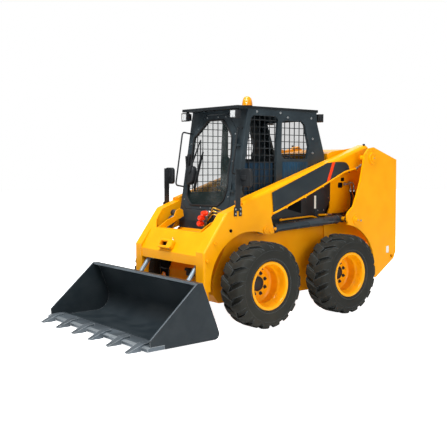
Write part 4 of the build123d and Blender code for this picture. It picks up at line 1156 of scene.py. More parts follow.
def dust_cap(x, z):
    """Red cap over a coupling, ribbed round its side."""
    start, end = 0.044, 0.1015
    shape = [(start, 0.0), (start, 0.0235), (start + 0.004, 0.0255), (start + 0.012, 0.0255),
             (start + 0.015, 0.0235), (end - 0.008, 0.0230), (end - 0.002, 0.0200), (end, 0.0150),
             (end, 0.0)]
    body = turned(shape, (x, base_y, z), forwards, steps=40)
    ribs = []
    for index in range(14):
        angle = math.tau / 14 * index
        side = Vector((math.cos(angle), 0.0, math.sin(angle))) * 0.0232
        ribs.append(rod(Vector((x, base_y - start - 0.016, z)) + side,
                        Vector((x, base_y - end + 0.008, z)) + side, 0.0022, sides=8))
    return welded([body] + ribs)


coupling_bodies = welded([coupling(x, z) for x, z in coupler_spots])
settle(coupling_bodies, "coupling_bodies", zinc, "boom")
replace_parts(coupling_bodies, "auxiliary_couplers")
settle([dust_cap(x, z) for x, z in coupler_spots], "coupling_dust_caps", red_plastic, "boom")

# %% Lines behind the couplings
bracket_back = base_y + 0.011
lines, unions = [], []
for index, (x, z) in enumerate(coupler_spots):
    back = Vector((x, bracket_back + 0.004, z))
    unions.append(rod(back - Vector((0, 0.006, 0)), back + Vector((0, 0.020, 0)), 0.017, sides=6,
                      width=0.0015))
    lift = z + 0.010 + 0.006 * index
    lines.append(tube([back + Vector((0, 0.012, 0)), back + Vector((0, 0.052, 0.004)),
                       Vector((x + 0.050, back.y + 0.070, lift)),
                       Vector((0.400, back.y + 0.075, lift + 0.012)),
                       Vector((0.4515, back.y + 0.085, lift + 0.018))], 0.0085, bend=0.03))
settle(lines, "coupling_steel_lines", zinc, "boom")
settle(unions, "coupling_unions", zinc, "boom")

# %% [markdown]
# A black guard wraps the bracket, so that only caps and bodies stand out from the dark
# behind them. It is the bracket's outline, a little larger, with room round each coupling.

# %% Guard round the couplers' bracket
guard_edge = [(0.342, 0.930), (0.342, 1.092), (0.318, 1.108), (0.272, 1.108), (0.206, 1.012),
              (0.200, 0.948), (0.218, 0.930)]
guard_front = base_y - 0.0035
guard = plate([Vector((x, guard_front, z)) for x, z in guard_edge], (0.0, 0.0165, 0.0))
for x, z in coupler_spots:
    bore = rod((x, guard_front - 0.02, z), (x, base_y, z), 0.0275, sides=36)
    use_modifier(guard, "BOOLEAN", operation="DIFFERENCE", object=bore, solver="EXACT")
    bpy.data.objects.remove(bore)
soften(guard, width=0.0015)
settle(guard, "coupler_bracket_guard", black_iron, "boom")

# a plated sleeve on each coupling, and three short lines that run to the arm
sleeve_line = [(0.0, 0.0205), (0.0, 0.0262), (0.004, 0.0272), (0.012, 0.0272), (0.016, 0.0242),
               (0.026, 0.0242), (0.029, 0.0262), (0.034, 0.0262), (0.036, 0.0205)]
sleeves = [turned(sleeve_line, (x, base_y - 0.0045, z), forwards, steps=40, closed=True)
           for x, z in coupler_spots]
settle(sleeves, "coupling_sleeves", zinc, "boom")
arm_lines = []
for index, (x, z) in enumerate(coupler_spots):
    rise = 0.030 * index
    arm_lines.append(tube([Vector((x + 0.024, base_y - 0.012, z + 0.012)),
                           Vector((x + 0.052, base_y - 0.022, z + 0.028)),
                           Vector((0.372, base_y - 0.024, 1.128 - rise)),
                           Vector((0.418, base_y + 0.004, 1.112 - rise)),
                           Vector((0.428, base_y + 0.050, 1.090 - rise))], 0.0062, bend=0.022))
settle(arm_lines, "coupling_lines", brass, "boom")

# %% [markdown]
# A deep socket on the boom's front plate holds a prop's end: a mouth with rounded rims, a
# throat whose floor is a thin black plate of painted shade, and a cross pin with a ring. It
# stands square to the sloping plate.

# %% Prop socket
slope_y, slope_z = -1.0908, 0.752
slope_turn = math.atan2(0.12025, 0.205)


def on_slope(across, up, out):
    """Point on the boom's sloping front plate: across, up along it, and out from it."""
    y = slope_y + up * math.sin(slope_turn) - out * math.cos(slope_turn)
    z = slope_z + up * math.cos(slope_turn) + out * math.sin(slope_turn)
    return at(across, y, z)


slope_out = on_slope(0, 0, 1) - on_slope(0, 0, 0)
socket_edge = [(-0.137, -0.047), (0.050, -0.047), (0.062, -0.030), (0.062, 0.030), (0.046, 0.047),
               (-0.137, 0.047)]
socket = plate([on_slope(a, u, 0.0005) for a, u in socket_edge], slope_out * 0.0445)
throat_edge = [(-0.1268, -0.0238), (-0.0132, -0.0238), (-0.0132, 0.0238), (-0.1268, 0.0238)]
throat = plate([on_slope(a, u, -0.02) for a, u in throat_edge], slope_out * 0.1)
use_modifier(socket, "BOOLEAN", operation="DIFFERENCE", object=throat, solver="EXACT")
bpy.data.objects.remove(throat)
soften(socket, width=0.003)
settle(socket, "prop_socket_body", yellow, "boom")
# the throat's floor is a thin black plate: painted shade
back = plate([on_slope(a, u, 0.0005) for a, u in throat_edge], slope_out * 0.002)
settle(back, "prop_socket_throat_shade", shadow_black, "boom")
cross_pin = rod(on_slope(0.030, -0.052, 0.026), on_slope(0.030, 0.054, 0.026), 0.006, sides=20,
                width=0.0012)
bpy.ops.mesh.primitive_torus_add(location=on_slope(0.030, 0.060, 0.026), rotation=(0.0, math.pi / 2, 0.0),
                                 major_radius=0.011, minor_radius=0.0018, major_segments=28,
                                 minor_segments=8)
pull_ring = bpy.context.object
place_applied(pull_ring)
bpy.ops.object.shade_smooth()
settle([cross_pin, pull_ring], "prop_socket_pin", zinc, "boom")

# %% [markdown]
# ## Lift cylinders, lines and hoses
#
# Each cylinder has a gland where its rod comes out, and a lift cylinder has a weld ring
# near its eye. Lines that run on the cab's side stay with the chassis. Two black hoses
# hang in the tower's bay from elbows on its inner plate to the ends of the steel lines.

# %% Cylinder glands and pin sleeves
def ring_about(start, end, radius, thick, place, length):
    """Collar round a cylinder: starts at a share of the way from start to end."""
    start, end = Vector(start), Vector(end)
    way = (end - start).normalized()
    foot = start.lerp(end, place)
    shape = [(0.0, radius), (0.0, radius + thick * 0.7), (length * 0.12, radius + thick),
             (length * 0.88, radius + thick), (length, radius + thick * 0.7), (length, radius)]
    piece = turned(shape, (0, 0, 0), steps=40, closed=True)
    piece.data.transform(Matrix.Translation(foot) @ way.to_track_quat("Z", "Y").to_matrix().to_4x4())
    return piece


lift_x = 0.508
lift_base, lift_eye = at(lift_x, 0.790, 0.953), at(lift_x, -0.362, 0.897)
gland = ring_about(lift_base, lift_eye, 0.0435, 0.007, 0.835, 0.036)
weld = ring_about(lift_base, lift_eye, 0.0435, 0.005, 0.060, 0.012)
settle(both_sides([gland, weld]), "lift_cylinder_glands", cylinder_paint, "lift_barrels")
tilt_x = 0.395
tilt_base, tilt_eye = at(tilt_x, -0.735, 1.030), at(tilt_x, -1.211, 0.415)
gland = ring_about(tilt_base, tilt_eye, 0.0415, 0.006, 0.655, 0.030)
settle(both_sides(gland), "tilt_cylinder_glands", cylinder_paint, "tilt_barrels")

sleeve = rod(at(0.5885, 0.790, 0.953), at(0.699, 0.790, 0.953), 0.0365, sides=40, width=0.004)
settle(both_sides(sleeve), "lift_pin_sleeves", plastic)

# %% Steel lines on the cab's side
side_x = 0.447
first = tube([at(side_x, -0.040, 0.975), at(side_x, 0.406, 0.993), at(side_x, 0.538, 0.953),
              at(side_x, 0.690, 0.953)], 0.0090, bend=0.035)
second = tube([at(side_x, 0.508, 1.000), at(side_x, 0.640, 0.998)], 0.0120)
stop = rod(at(side_x, -0.062, 0.974), at(side_x, -0.030, 0.9755), 0.0145, sides=6, width=0.0015)
settle(both_sides([first, second, stop]), "side_steel_lines", yellow)
ends = [rod(at(side_x, 0.688, 0.953), at(side_x, 0.733, 0.953), 0.0135, sides=6, width=0.0015),
        rod(at(side_x, 0.636, 0.998), at(side_x, 0.664, 0.998), 0.0165, sides=6, width=0.0015),
        rod(at(side_x, 0.664, 0.998), at(side_x, 0.710, 0.997), 0.0125, width=0.002),
        block(at(0.439, 0.610, 0.940), at(0.452, 0.632, 1.014), width=0.003)]
settle(both_sides(ends), "side_line_fittings", zinc)

# %% Elbows, and painted shade for holes in the tower's bay
bay_x = 0.4425
elbows = []
for y, z, drop_y in ((0.912, 1.322, 0.985), (0.985, 1.336, 1.040)):
    elbows.append(tube([at(bay_x, y, z), at(bay_x + 0.026, y, z), at(bay_x + 0.026, drop_y, z - 0.008),
                        at(bay_x + 0.022, drop_y + 0.012, 1.240)], 0.0105, bend=0.035))
    elbows.append(rod(at(bay_x, y, z), at(bay_x + 0.016, y, z), 0.019, sides=6, width=0.0015))
    elbows.append(rod(at(bay_x + 0.022, drop_y + 0.010, 1.262), at(bay_x + 0.022, drop_y + 0.013, 1.234),
                      0.016, sides=6, width=0.0015))
settle(both_sides(elbows), "bay_elbows", zinc)
# The holes in the bay's inner plate are thin black plates: painted shade.
opening_shades = [soft_cornered(at(bay_x - 0.002, 0.858, 1.350), at(bay_x + 0.0008, 0.912, 1.392), 0.012),
            soft_cornered(at(bay_x - 0.002, 0.812, 1.280), at(bay_x + 0.0008, 0.885, 1.338), 0.016)]
settle(both_sides(opening_shades), "bay_opening_shades", shadow_black)

# %% [markdown]
# The free hoses follow a few given points, which sag towards the tower's floor before
# they meet the steel lines. A smooth curve through the points is sampled closely. Its
# bevel is the hose's radius.

# %% Free hoses in the tower's bays
def smooth_path(points):
    """Points of a smooth curve through given points, ten to a span."""
    steps = 10
    padded = [points[0] * 2 - points[1]] + list(points) + [points[-1] * 2 - points[-2]]
    path = []
    for a, b, c, d in zip(padded, padded[1:], padded[2:], padded[3:]):
        for step in range(steps):
            t = step / steps
            path.append(0.5 * ((2 * b) + (c - a) * t + (2 * a - 5 * b + 4 * c - d) * t ** 2
                               + (3 * b - a - 3 * c + d) * t ** 3))
    path.append(points[-1])
    return path


def free_hose(points, radius, name):
    """Hose through points, as a mesh tube."""
    path = smooth_path([Vector(p) for p in points])
    piece = settle(tube_along(path, radius), name, hose_rubber)


hose_radius = 0.0125
hose_lines = {
    "front": [(0.4645, 0.998, 1.236), (0.474, 1.004, 1.160), (0.474, 0.990, 1.060),
              (0.466, 0.930, 1.012), (0.455, 0.820, 0.996), (0.447, 0.708, 0.997)],
    "rear": [(0.4645, 1.053, 1.236), (0.476, 1.064, 1.150), (0.478, 1.050, 1.045),
             (0.474, 0.975, 0.975), (0.462, 0.860, 0.950), (0.447, 0.731, 0.953)]}
for side, word in ((1, "left"), (-1, "right")):
    for end, line in hose_lines.items():
        free_hose([at(side * x, y, z) for x, y, z in line], hose_radius, f"bay_hose_{end}_{word}")
print("boom and hoses done")


# %% [markdown]
# ## Under the boom's front plate
#
# The opening between the boom's legs shows the front of the tub. Its right part holds thin
# black plates of painted shade that stand for a step recess, with a reflector in it. A black
# socket for the attachment's cable sits near the left cylinder, and a bright pin hangs
# below it on a lug.

# %% Painted recess shade, cable socket and pin on the tub's front
tub_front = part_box("chassis_tub")[0].y


def on_tub(x, out, z):
    """Point in front of the tub's face."""
    return Vector((x, tub_front - out, z))


# The step recess is a thin black block and a sloped plate on the tub's face: painted shade.
recess = [block(on_tub(-0.427, 0.003, 0.318), on_tub(-0.285, -0.001, 0.470), width=0.0),
          plate([on_tub(-0.427, 0.003, 0.478), on_tub(-0.427, 0.001, 0.563), on_tub(-0.427, -0.046, 0.566),
                 on_tub(-0.427, 0.000, 0.479)], (0.141, 0.0, 0.0))]
settle(recess, "step_recess_shade", shadow_black)
frame_bars = [block(on_tub(-0.428, 0.014, 0.470), on_tub(-0.279, 0.0005, 0.480), width=0.002),
              block(on_tub(-0.285, 0.014, 0.312), on_tub(-0.276, 0.0005, 0.470), width=0.002),
              block(on_tub(-0.428, 0.020, 0.306), on_tub(-0.279, 0.0005, 0.318), width=0.002)]
settle(frame_bars, "step_recess_frame", black_iron)
reflector_line = [(0.0, 0.0), (0.0, 0.030), (0.010, 0.030), (0.014, 0.026), (0.012, 0.022), (0.008, 0.012),
                  (0.008, 0.0)]
reflector = turned(reflector_line, on_tub(-0.368, 0.003, 0.405), forwards, steps=36)
settle(reflector, "recess_reflector", amber_band)

cable_socket = block(on_tub(0.038, 0.030, 0.446), on_tub(0.150, -0.020, 0.508), width=0.006, segments=3)
cable_lid = block(on_tub(0.030, 0.040, 0.496), on_tub(0.158, 0.0155, 0.518), width=0.004)
lid_hinge = rod(on_tub(0.030, 0.026, 0.522), on_tub(0.158, 0.026, 0.522), 0.005, sides=16, width=0.001)
settle([cable_socket, cable_lid, lid_hinge], "attachment_cable_socket", plastic)
# the lug takes the tub's painted-shade copy of the yellow paint
lug = plate([on_tub(0.160, 0.0005, 0.330), on_tub(0.160, 0.036, 0.338), on_tub(0.160, 0.036, 0.372),
             on_tub(0.160, 0.0005, 0.392)], (0.010, 0.0, 0.0))
settle(lug, "tow_pin_lug", yellow_painted_shade)
pin_line = [(0.318, 0.0), (0.318, 0.007), (0.385, 0.008), (0.390, 0.013), (0.402, 0.014), (0.406, 0.009),
            (0.406, 0.0)]
tow_pin = turned(pin_line, on_tub(0.1745, 0.024, 0.0), steps=28)
settle(tow_pin, "tow_pin", zinc)

# %% [markdown]
# ## Towers
#
# Two pins end on each tower's outer plate, and both are kept from turning. The boom's pivot
# has an open ring of round bar about it; the lift cylinder's pin has a keeper plate with a
# bolt. A plain pale plate near the rear corner stands for the tie-down sign, left blank.

# %% Pins, keepers and plates on the towers
plate_x = 0.720
pivot_y, pivot_z = 1.047, 1.601
base_pin_y, base_pin_z = 0.790, 0.953
ring_steps = 22
ring_out = arc((pivot_y, pivot_z), 0.0655, 62, 292, ring_steps)
ring_in = arc((pivot_y, pivot_z), 0.0475, 292, 62, ring_steps)
open_ring = side_plate(plate_x + 0.008, ring_out + ring_in, 0.0055)
soften(open_ring, width=0.0018)
settle(both_sides(open_ring), "pivot_open_rings", yellow)
pin_ends = [pin_cap(at(plate_x + 0.0140, pivot_y, pivot_z), 0.031, 0.005),
            pin_cap(at(plate_x + 0.0202, base_pin_y, base_pin_z), 0.0235, 0.004)]
settle(both_sides(pin_ends), "tower_pin_ends", yellow)
keeper = side_plate(plate_x + 0.0005, [(0.832, 0.935), (0.870, 0.929), (0.876, 0.945), (0.868, 0.958),
                                       (0.836, 0.966)], 0.011)
soften(keeper, width=0.002)
settle(both_sides(keeper), "lift_pin_keepers", yellow)
keeper_bolts = bolts([at(plate_x + 0.0115, 0.857, 0.944)], (1, 0, 0), 0.015)
settle(both_sides(keeper_bolts), "keeper_bolts", zinc)
nipples = []
for x, y, z in ((plate_x + 0.0205, pivot_y, pivot_z), (plate_x + 0.0252, base_pin_y, base_pin_z)):
    nipples.append(rod(at(x, y, z), at(x + 0.005, y, z), 0.0045, sides=6, width=0.0005))
    nipples.append(rod(at(x + 0.005, y, z), at(x + 0.011, y, z), 0.0028, sides=12, width=0.0008))
settle(both_sides(nipples), "tower_grease_nipples", zinc)
blank = soft_cornered(at(plate_x + 0.0003, 1.308, 0.562), at(plate_x + 0.0012, 1.352, 0.638), 0.007)
settle(both_sides(blank), "blank_tower_plates", pale_film)
rivets = side_bolts(plate_x + 0.0012, ((1.314, 0.568), (1.346, 0.568), (1.314, 0.632), (1.346, 0.632)),
                    0.004)
settle(both_sides(rivets), "tower_plate_rivets", zinc)

# %% [markdown]
# A welded doubler runs round each tie-down hole, because a chain bears on thin plate there.

# %% Tie-down doublers
tie_y, tie_z = 1.398, 0.522
doubler_line = [(0.0004, 0.0215), (0.0004, 0.0330), (0.0040, 0.0320), (0.0045, 0.0300), (0.0045, 0.0225),
                (0.0035, 0.0215)]
doubler = turned(doubler_line, at(plate_x, tie_y, tie_z), (1, 0, 0), closed=True)
settle(both_sides(doubler), "tie_down_doublers", yellow)

# %% [markdown]
# ## The boom's rear ends
#
# A black rubber stop stands on each arm's rear end, where the hood's edge passes.

# %% Rubber stops
stop_outline = [(0.0, 0.0), (0.0, 0.0115), (0.004, 0.0115), (0.006, 0.0135), (0.013, 0.0135),
                (0.017, 0.0100), (0.018, 0.0)]
stops = turned(stop_outline, at(0.546, 1.106, 1.7395), steps=28)
settle(both_sides(stops), "arm_rubber_stops", plastic, "boom")

# %% [markdown]
# ## Bucket
#
# Earth scours a bucket to bare steel along its lip, its cheeks' front edges and the bevel
# of the cutting edge. Each is a thin strip of worn steel laid on the paint. Weld beads run
# where the cheeks meet the shell; a bead is a short tube with a rippled radius.

# %% Worn strips on the bucket
bucket_half = 0.881
lip_y, lip_z = -1.442, 0.527
toe_y, toe_z = -1.931, 0.101
lip_strip = plate([at(-bucket_half + 0.003, lip_y - 0.0004, lip_z - 0.001),
                   at(bucket_half - 0.003, lip_y - 0.0004, lip_z - 0.001),
                   at(bucket_half - 0.003, lip_y - 0.0064, lip_z - 0.0185),
                   at(-bucket_half + 0.003, lip_y - 0.0064, lip_z - 0.0185)], (0.0, -0.0008, 0.0003))
cheek_run = Vector((0.0, toe_y - lip_y, toe_z - lip_z))
cheek_out = Vector((0.0, cheek_run.z, -cheek_run.y)).normalized() * 0.0008
strips = [lip_strip]
for side in (-1, 1):
    inner, outer = side * (bucket_half - 0.0155), side * (bucket_half - 0.0005)
    first, last = at(0, lip_y, lip_z) + cheek_run * 0.01, at(0, lip_y, lip_z) + cheek_run * 0.99
    strips.append(plate([first + Vector((inner, 0, 0)), first + Vector((outer, 0, 0)),
                         last + Vector((outer, 0, 0)), last + Vector((inner, 0, 0))], cheek_out))
settle(strips, "bucket_worn_edges", worn_lip, "bucket")

edge_front_y, bevel = -1.9583, 0.029
tooth_half_x = 0.037
pitch = 2 * (bucket_half - 0.126) / 5
bare = []
for index in range(-1, 6):
    start = -bucket_half + 0.002 if index < 0 else (index - 2.5) * pitch + tooth_half_x + 0.002
    end = bucket_half - 0.002 if index > 4 else (index - 1.5) * pitch - tooth_half_x - 0.002
    bare.append(plate([at(start, edge_front_y + bevel, 0.0494), at(end, edge_front_y + bevel, 0.0494),
                       at(end, edge_front_y + 0.001, 0.0388), at(start, edge_front_y + 0.001, 0.0388)],
                      (0.0, -0.0003, 0.0008)))
settle(bare, "cutting_edge_bevel", bare_steel, "bucket")

# %% Weld beads inside the bucket
def bead(start, end, radius=0.0045):
    """Weld bead from start to end, its radius rippling along the way."""
    start, end = Vector(start), Vector(end)
    ripple_pitch, ripple_depth = 0.012, 0.16
    way = end - start
    count = max(6, int(way.length / ripple_pitch))
    piece = rod(start, end, radius, sides=8)
    use_modifier(piece, "REMESH", mode="VOXEL", voxel_size=radius * 0.55)
    for vertex in piece.data.vertices:
        share = (vertex.co - start).dot(way) / way.length_squared
        foot = start + way * min(max(share, 0.0), 1.0)
        vertex.co = foot + (vertex.co - foot) * (1.0 + ripple_depth * math.sin(share * count * math.tau))
    choose(piece)
    bpy.ops.object.shade_smooth()
    return piece


floor_z = 0.0245
cheek_in = bucket_half - 0.0165
beads = []
for side in (-1, 1):
    beads.append(bead(at(side * cheek_in, -1.420, floor_z), at(side * cheek_in, -1.785, floor_z)))
beads.append(bead(at(-cheek_in, -1.7895, 0.0500), at(cheek_in, -1.7895, 0.0500), 0.0050))
settle(beads, "bucket_weld_beads", bucket_paint, "bucket")

# %% [markdown]
# The heel carries four wear pads under the floor.

# %% Wear pads under the heel
pads = [block(at(x - 0.060, -1.700, 0.0022), at(x + 0.060, -1.480, 0.0117), width=0.002)
        for x in (-0.62, -0.22, 0.22, 0.62)]
settle(pads, "bucket_wear_pads", worn_lip, "bucket")
print("bucket dressed")

# %% [markdown]
# ## Seat
#
# The seat has a padded cushion and back in black vinyl, on a bellows and a base plate. Each
# pad starts as a rounded block a little smaller than its CAD solid, is remeshed fine, and
# swells in a cloth simulation. Its sewn channels are pressed in after that, and a piping
# runs round it. Points may move only so far, so a pad can't leave its place.

# %% Pads
def swell(piece, cap):
    """Inflate a closed form a little, as stuffing does, no point moving further than the cap."""
    use_modifier(piece, "REMESH", mode="VOXEL", voxel_size=0.006)
    before = [vertex.co.copy() for vertex in piece.data.vertices]
    choose(piece)
    cloth = piece.modifiers.new("Swelling", "CLOTH")
    cloth.settings.use_pressure = True
    cloth.settings.uniform_pressure_force = 4.0
    cloth.settings.effector_weights.gravity = 0.0
    frames = 20
    cloth.point_cache.frame_start = 1
    cloth.point_cache.frame_end = frames
    for step in range(1, frames + 1):
        bpy.context.scene.frame_set(step)
    bpy.ops.object.modifier_apply(modifier=cloth.name)
    bpy.context.scene.frame_set(1)
    for vertex, start in zip(piece.data.vertices, before):
        moved = vertex.co - start
        if moved.length > cap:
            vertex.co = start + moved * (cap / moved.length)


def press_seams(piece, seams):
    """Press sewn channels along planes, each a point and a direction across the seam."""
    width, depth = 0.010, 0.006
    for vertex in piece.data.vertices:
        sunk = 0.0
        for spot, across in seams:
            away = abs((vertex.co - spot).dot(across))
            sunk = max(sunk, depth * math.exp(-(away / width) ** 2))
        vertex.co -= vertex.normal * sunk
    choose(piece)
    bpy.ops.object.shade_smooth()


recline = math.atan2(0.080, 0.570)
up_back = Vector((0.0, math.sin(recline), math.cos(recline)))
through_back = Vector((0.0, math.cos(recline), -math.sin(recline)))
back_foot = at(0.0, 0.295, 1.095)
lean_back = Matrix.Translation(back_foot) @ Matrix.Rotation(-recline, 4, "X")

cushion = block(at(-0.214, -0.134, 1.022), at(0.214, 0.250, 1.112), width=0.034, segments=4)
swell(cushion, 0.016)
cushion_seams = [(at(x, 0, 0), Vector((1, 0, 0))) for x in (-0.125, 0.125)]
cushion_seams += [(at(0, y, 0), Vector((0, 1, 0))) for y in (-0.040, 0.050, 0.140)]
press_seams(cushion, cushion_seams)
settle(cushion, "seat_cushion", seat_vinyl)

backrest = block((-0.200, -0.036, 0.030), (0.200, 0.034, 0.530), width=0.030, segments=4)
swell(backrest, 0.014)
back_seams = [(Vector((x, 0, 0)), Vector((1, 0, 0))) for x in (-0.118, 0.118)]
back_seams += [(Vector((0, 0, z)), Vector((0, 0, 1))) for z in (0.130, 0.230, 0.330, 0.430)]
press_seams(backrest, back_seams)
backrest.data.transform(lean_back)
settle(backrest, "seat_backrest", seat_vinyl)

# %% Piping, shell and suspension
def ring_round(half_x, low, high):
    """Closed line round a rectangle, begun in the middle of a side."""
    return [(0.0, low), (half_x, low), (half_x, high), (-half_x, high), (-half_x, low), (0.0, low)]


cushion_ring = [at(x, y, 1.120) for x, y in ring_round(0.211, -0.128, 0.244)]
back_ring = [back_foot + Vector((x, 0, 0)) + up_back * u - through_back * 0.040
             for x, u in ring_round(0.196, 0.036, 0.524)]
piping = [tube(ring, 0.0045, bend=0.045) for ring in (cushion_ring, back_ring)]
settle(piping, "seat_piping", seat_piping)

shell = [block(at(-0.205, -0.110, 1.006), at(0.205, 0.300, 1.020), width=0.005, segments=3)]
back_shell = block((-0.192, 0.040, 0.010), (0.192, 0.050, 0.520), width=0.0045, segments=3)
back_shell.data.transform(lean_back)
shell.append(back_shell)
for side in (-1, 1):
    shell.append(tube([at(0.205 * side, 0.220, 1.030), at(0.214 * side, 0.300, 1.060),
                       at(0.200 * side, 0.338, 1.180)], 0.011, bend=0.03))
    shell.append(tube([at(0.214 * side, 0.285, 1.062), at(0.214 * side, 0.180, 1.050)], 0.007))
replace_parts(settle(shell, "seat_shell", plastic), "seat")

bellows = [block(at(-0.182, -0.092, 0.932), at(0.182, 0.282, 0.944), width=0.003)]
for index in range(5):
    spread = 0.0 if index % 2 else 0.012
    bottom = 0.945 + index * 0.0120
    bellows.append(block(at(-0.160 - spread, -0.072 - spread, bottom),
                         at(0.160 + spread, 0.262 + spread, bottom + 0.0122), width=0.0050, segments=3))
settle(bellows, "seat_bellows", hose_rubber)

# %% [markdown]
# The belt's two halves come up beside the seat and meet in a buckle on the lap. Webbing is
# flat, so each half is a thin strip cut to the line it lies on, pulled to its width.

# %% Seat belt
belt = []
for side in (-1, 1):
    outer = [(0.231, 1.020), (0.233, 1.080), (0.226, 1.122), (0.205, 1.136), (0.120, 1.141), (0.030, 1.142)]
    inner = [(0.030, 1.1395), (0.120, 1.1385), (0.204, 1.1335), (0.2235, 1.120), (0.2305, 1.080),
             (0.2285, 1.020)]
    belt.append(plate([at(x * side, 0.120, z) for x, z in outer + inner], (0.0, 0.046, 0.0)))
settle(belt, "seat_belt", webbing)
buckle = [block(at(-0.036, 0.112, 1.137), at(0.034, 0.174, 1.154), width=0.006, segments=3),
          block(at(-0.018, 0.126, 1.1535), at(0.016, 0.160, 1.1565), width=0.0014)]
settle(buckle, "belt_buckle", plastic)

# %% [markdown]
# ## Controls
#
# Each console carries a lever: rubber boot below, moulded grip above, with a thumb button.
# Rocker switches stand in a row behind. The lap bar has a ribbed foam grip. These follow
# what an operator's cab needs, because little of it shows through the mesh.

# %% Levers, switches and lap bar grip
boot_line = [(0.001, 0.046), (0.010, 0.047), (0.014, 0.038), (0.020, 0.042), (0.025, 0.032), (0.031, 0.036),
             (0.036, 0.026), (0.042, 0.029), (0.048, 0.019), (0.060, 0.0145), (0.064, 0.0112)]
grip_line = [(0.078, 0.0112), (0.080, 0.0230), (0.086, 0.0260), (0.094, 0.0225), (0.106, 0.0245),
             (0.118, 0.0222), (0.130, 0.0245), (0.142, 0.0222), (0.156, 0.0250), (0.172, 0.0262),
             (0.182, 0.0235), (0.188, 0.0150), (0.1895, 0.0)]
button_line = [(0.188, 0.0), (0.188, 0.009), (0.193, 0.0085), (0.195, 0.006), (0.1955, 0.0)]
for side, name in ((1, "left"), (-1, "right")):
    foot = at(0.376 * side, -0.070, 1.100)
    settle(turned(boot_line, foot, steps=40), f"lever_boot_{name}", hose_rubber)
    settle(turned(grip_line, foot, steps=40), f"lever_grip_{name}", plastic)
    settle(turned(button_line, foot, steps=24), f"lever_button_{name}", red_plastic)
switches = []
for index in range(5):
    y = 0.060 + index * 0.052
    switches.append(block(at(0.322, y, 1.1002), at(0.372, y + 0.036, 1.1065), width=0.002))
    switches.append(block(at(0.328, y + 0.005, 1.106), at(0.366, y + 0.031, 1.1125), width=0.003,
                          segments=3))
settle(both_sides(switches), "console_switches", plastic)

foam_line = [(-0.262, 0.0192), (-0.260, 0.0250)]
for index in range(20):
    u = -0.252 + index * 0.0252
    foam_line += [(u, 0.0272), (u + 0.0090, 0.0272), (u + 0.0126, 0.0258), (u + 0.0162, 0.0272)]
foam_line += [(0.260, 0.0250), (0.262, 0.0192)]
foam = turned(foam_line, at(0.0, -0.250, 1.290), (1, 0, 0), steps=36)
settle(foam, "lap_bar_grip", hose_rubber)

mat = [block(at(-0.236, -0.455, 0.9315), at(0.236, -0.110, 0.9375), width=0.002)]
for index in range(9):
    y = -0.430 + index * 0.036
    mat.append(block(at(-0.220, y, 0.937), at(0.220, y + 0.012, 0.9405), width=0.0015))
settle(mat, "floor_mat", hose_rubber)
print("cab fitted")

# %% [markdown]
# ## Rear door and hood
#
# Angled blades stand behind the rear door's slots, as they do on a louvred door. A paddle
# latch sits below them on a backing plate, on the edge away from the hinge. The hood has
# two rubber latches and a lifting handle.

# %% Louvre blades, latches and handle
blades = []
for index in range(9):
    foot_z = 1.010 + 0.046 * index
    blades.append(plate([at(-0.306, 1.399, foot_z - 0.010), at(-0.306, 1.3965, foot_z - 0.009),
                         at(-0.306, 1.374, foot_z + 0.032), at(-0.306, 1.3765, foot_z + 0.033)],
                        (0.612, 0.0, 0.0)))
blades += [block(at(x - 0.004, 1.368, 0.985), at(x + 0.004, 1.3995, 1.420), width=0.001)
           for x in (-0.308, 0.308)]
settle(blades, "rear_door_louvres", black_iron, "rear_door")

latch_x = -0.360 if joint_at["rear_door_swing"].x > 0 else 0.360
latch = [block(at(latch_x - 0.034, 1.4402, 0.930), at(latch_x + 0.034, 1.4432, 1.050), width=0.001),
         block(at(latch_x - 0.022, 1.443, 0.945), at(latch_x + 0.022, 1.449, 1.015), width=0.0025,
               segments=3),
         rod(at(latch_x, 1.4425, 1.032), at(latch_x, 1.4475, 1.032), 0.009, sides=24, width=0.001)]
settle(latch, "rear_door_latch", black_iron, "rear_door")
hood_latches = [block(at(0.330, 1.3952, 1.528), at(0.372, 1.4002, 1.552), width=0.0015),
                block(at(0.341, 1.3992, 1.532), at(0.361, 1.4042, 1.548), width=0.0020, segments=3)]
settle(both_sides(hood_latches), "hood_latches", hose_rubber, "engine_hood")
handle = tube([at(-0.070, 1.394, 1.540), at(-0.070, 1.412, 1.540), at(0.070, 1.412, 1.540),
               at(0.070, 1.394, 1.540)], 0.006, bend=0.012)
settle(handle, "hood_handle", black_iron, "engine_hood")

# %% [markdown]
# ## Engine bay
#
# With the hood up, the engine shows: rocker cover with its bolts and filler cap, muffler
# and tailpipe, air cleaner with its clamp bands, and the radiator with its fan. None of it
# shows in the main view, so it follows a common diesel's layout.

# %% Engine, muffler, air cleaner, radiator
rocker_cover = [block(at(-0.190, 0.700, 1.2995), at(0.060, 0.980, 1.352), width=0.016, segments=4)]
for index in range(4):
    y = 0.725 + index * 0.070
    rocker_cover.append(block(at(-0.170, y, 1.350), at(0.040, y + 0.024, 1.357), width=0.003))
settle(rocker_cover, "engine_rocker_cover", grey_cast)
filler_line = [(0.0, 0.0), (0.0, 0.026), (0.006, 0.028), (0.010, 0.024), (0.022, 0.024), (0.025, 0.020),
               (0.025, 0.0)]
settle(turned(filler_line, at(-0.120, 0.930, 1.350), steps=24), "oil_filler_cap", plastic)

half_can = [(0.102, 0.052), (0.106, 0.0535), (0.110, 0.052), (0.195, 0.052), (0.200, 0.0535),
            (0.205, 0.052), (0.215, 0.046), (0.225, 0.030), (0.225, 0.0)]
muffler = turned([(-u, r) for u, r in reversed(half_can)] + half_can, at(0.0, 0.665, 1.372), (1, 0, 0))
pipe = tube([at(-0.215, 0.665, 1.372), at(-0.262, 0.665, 1.372), at(-0.262, 0.740, 1.350),
             at(-0.262, 0.760, 1.290)], 0.021, bend=0.03)
settle([muffler, pipe], "muffler", bare_fins)

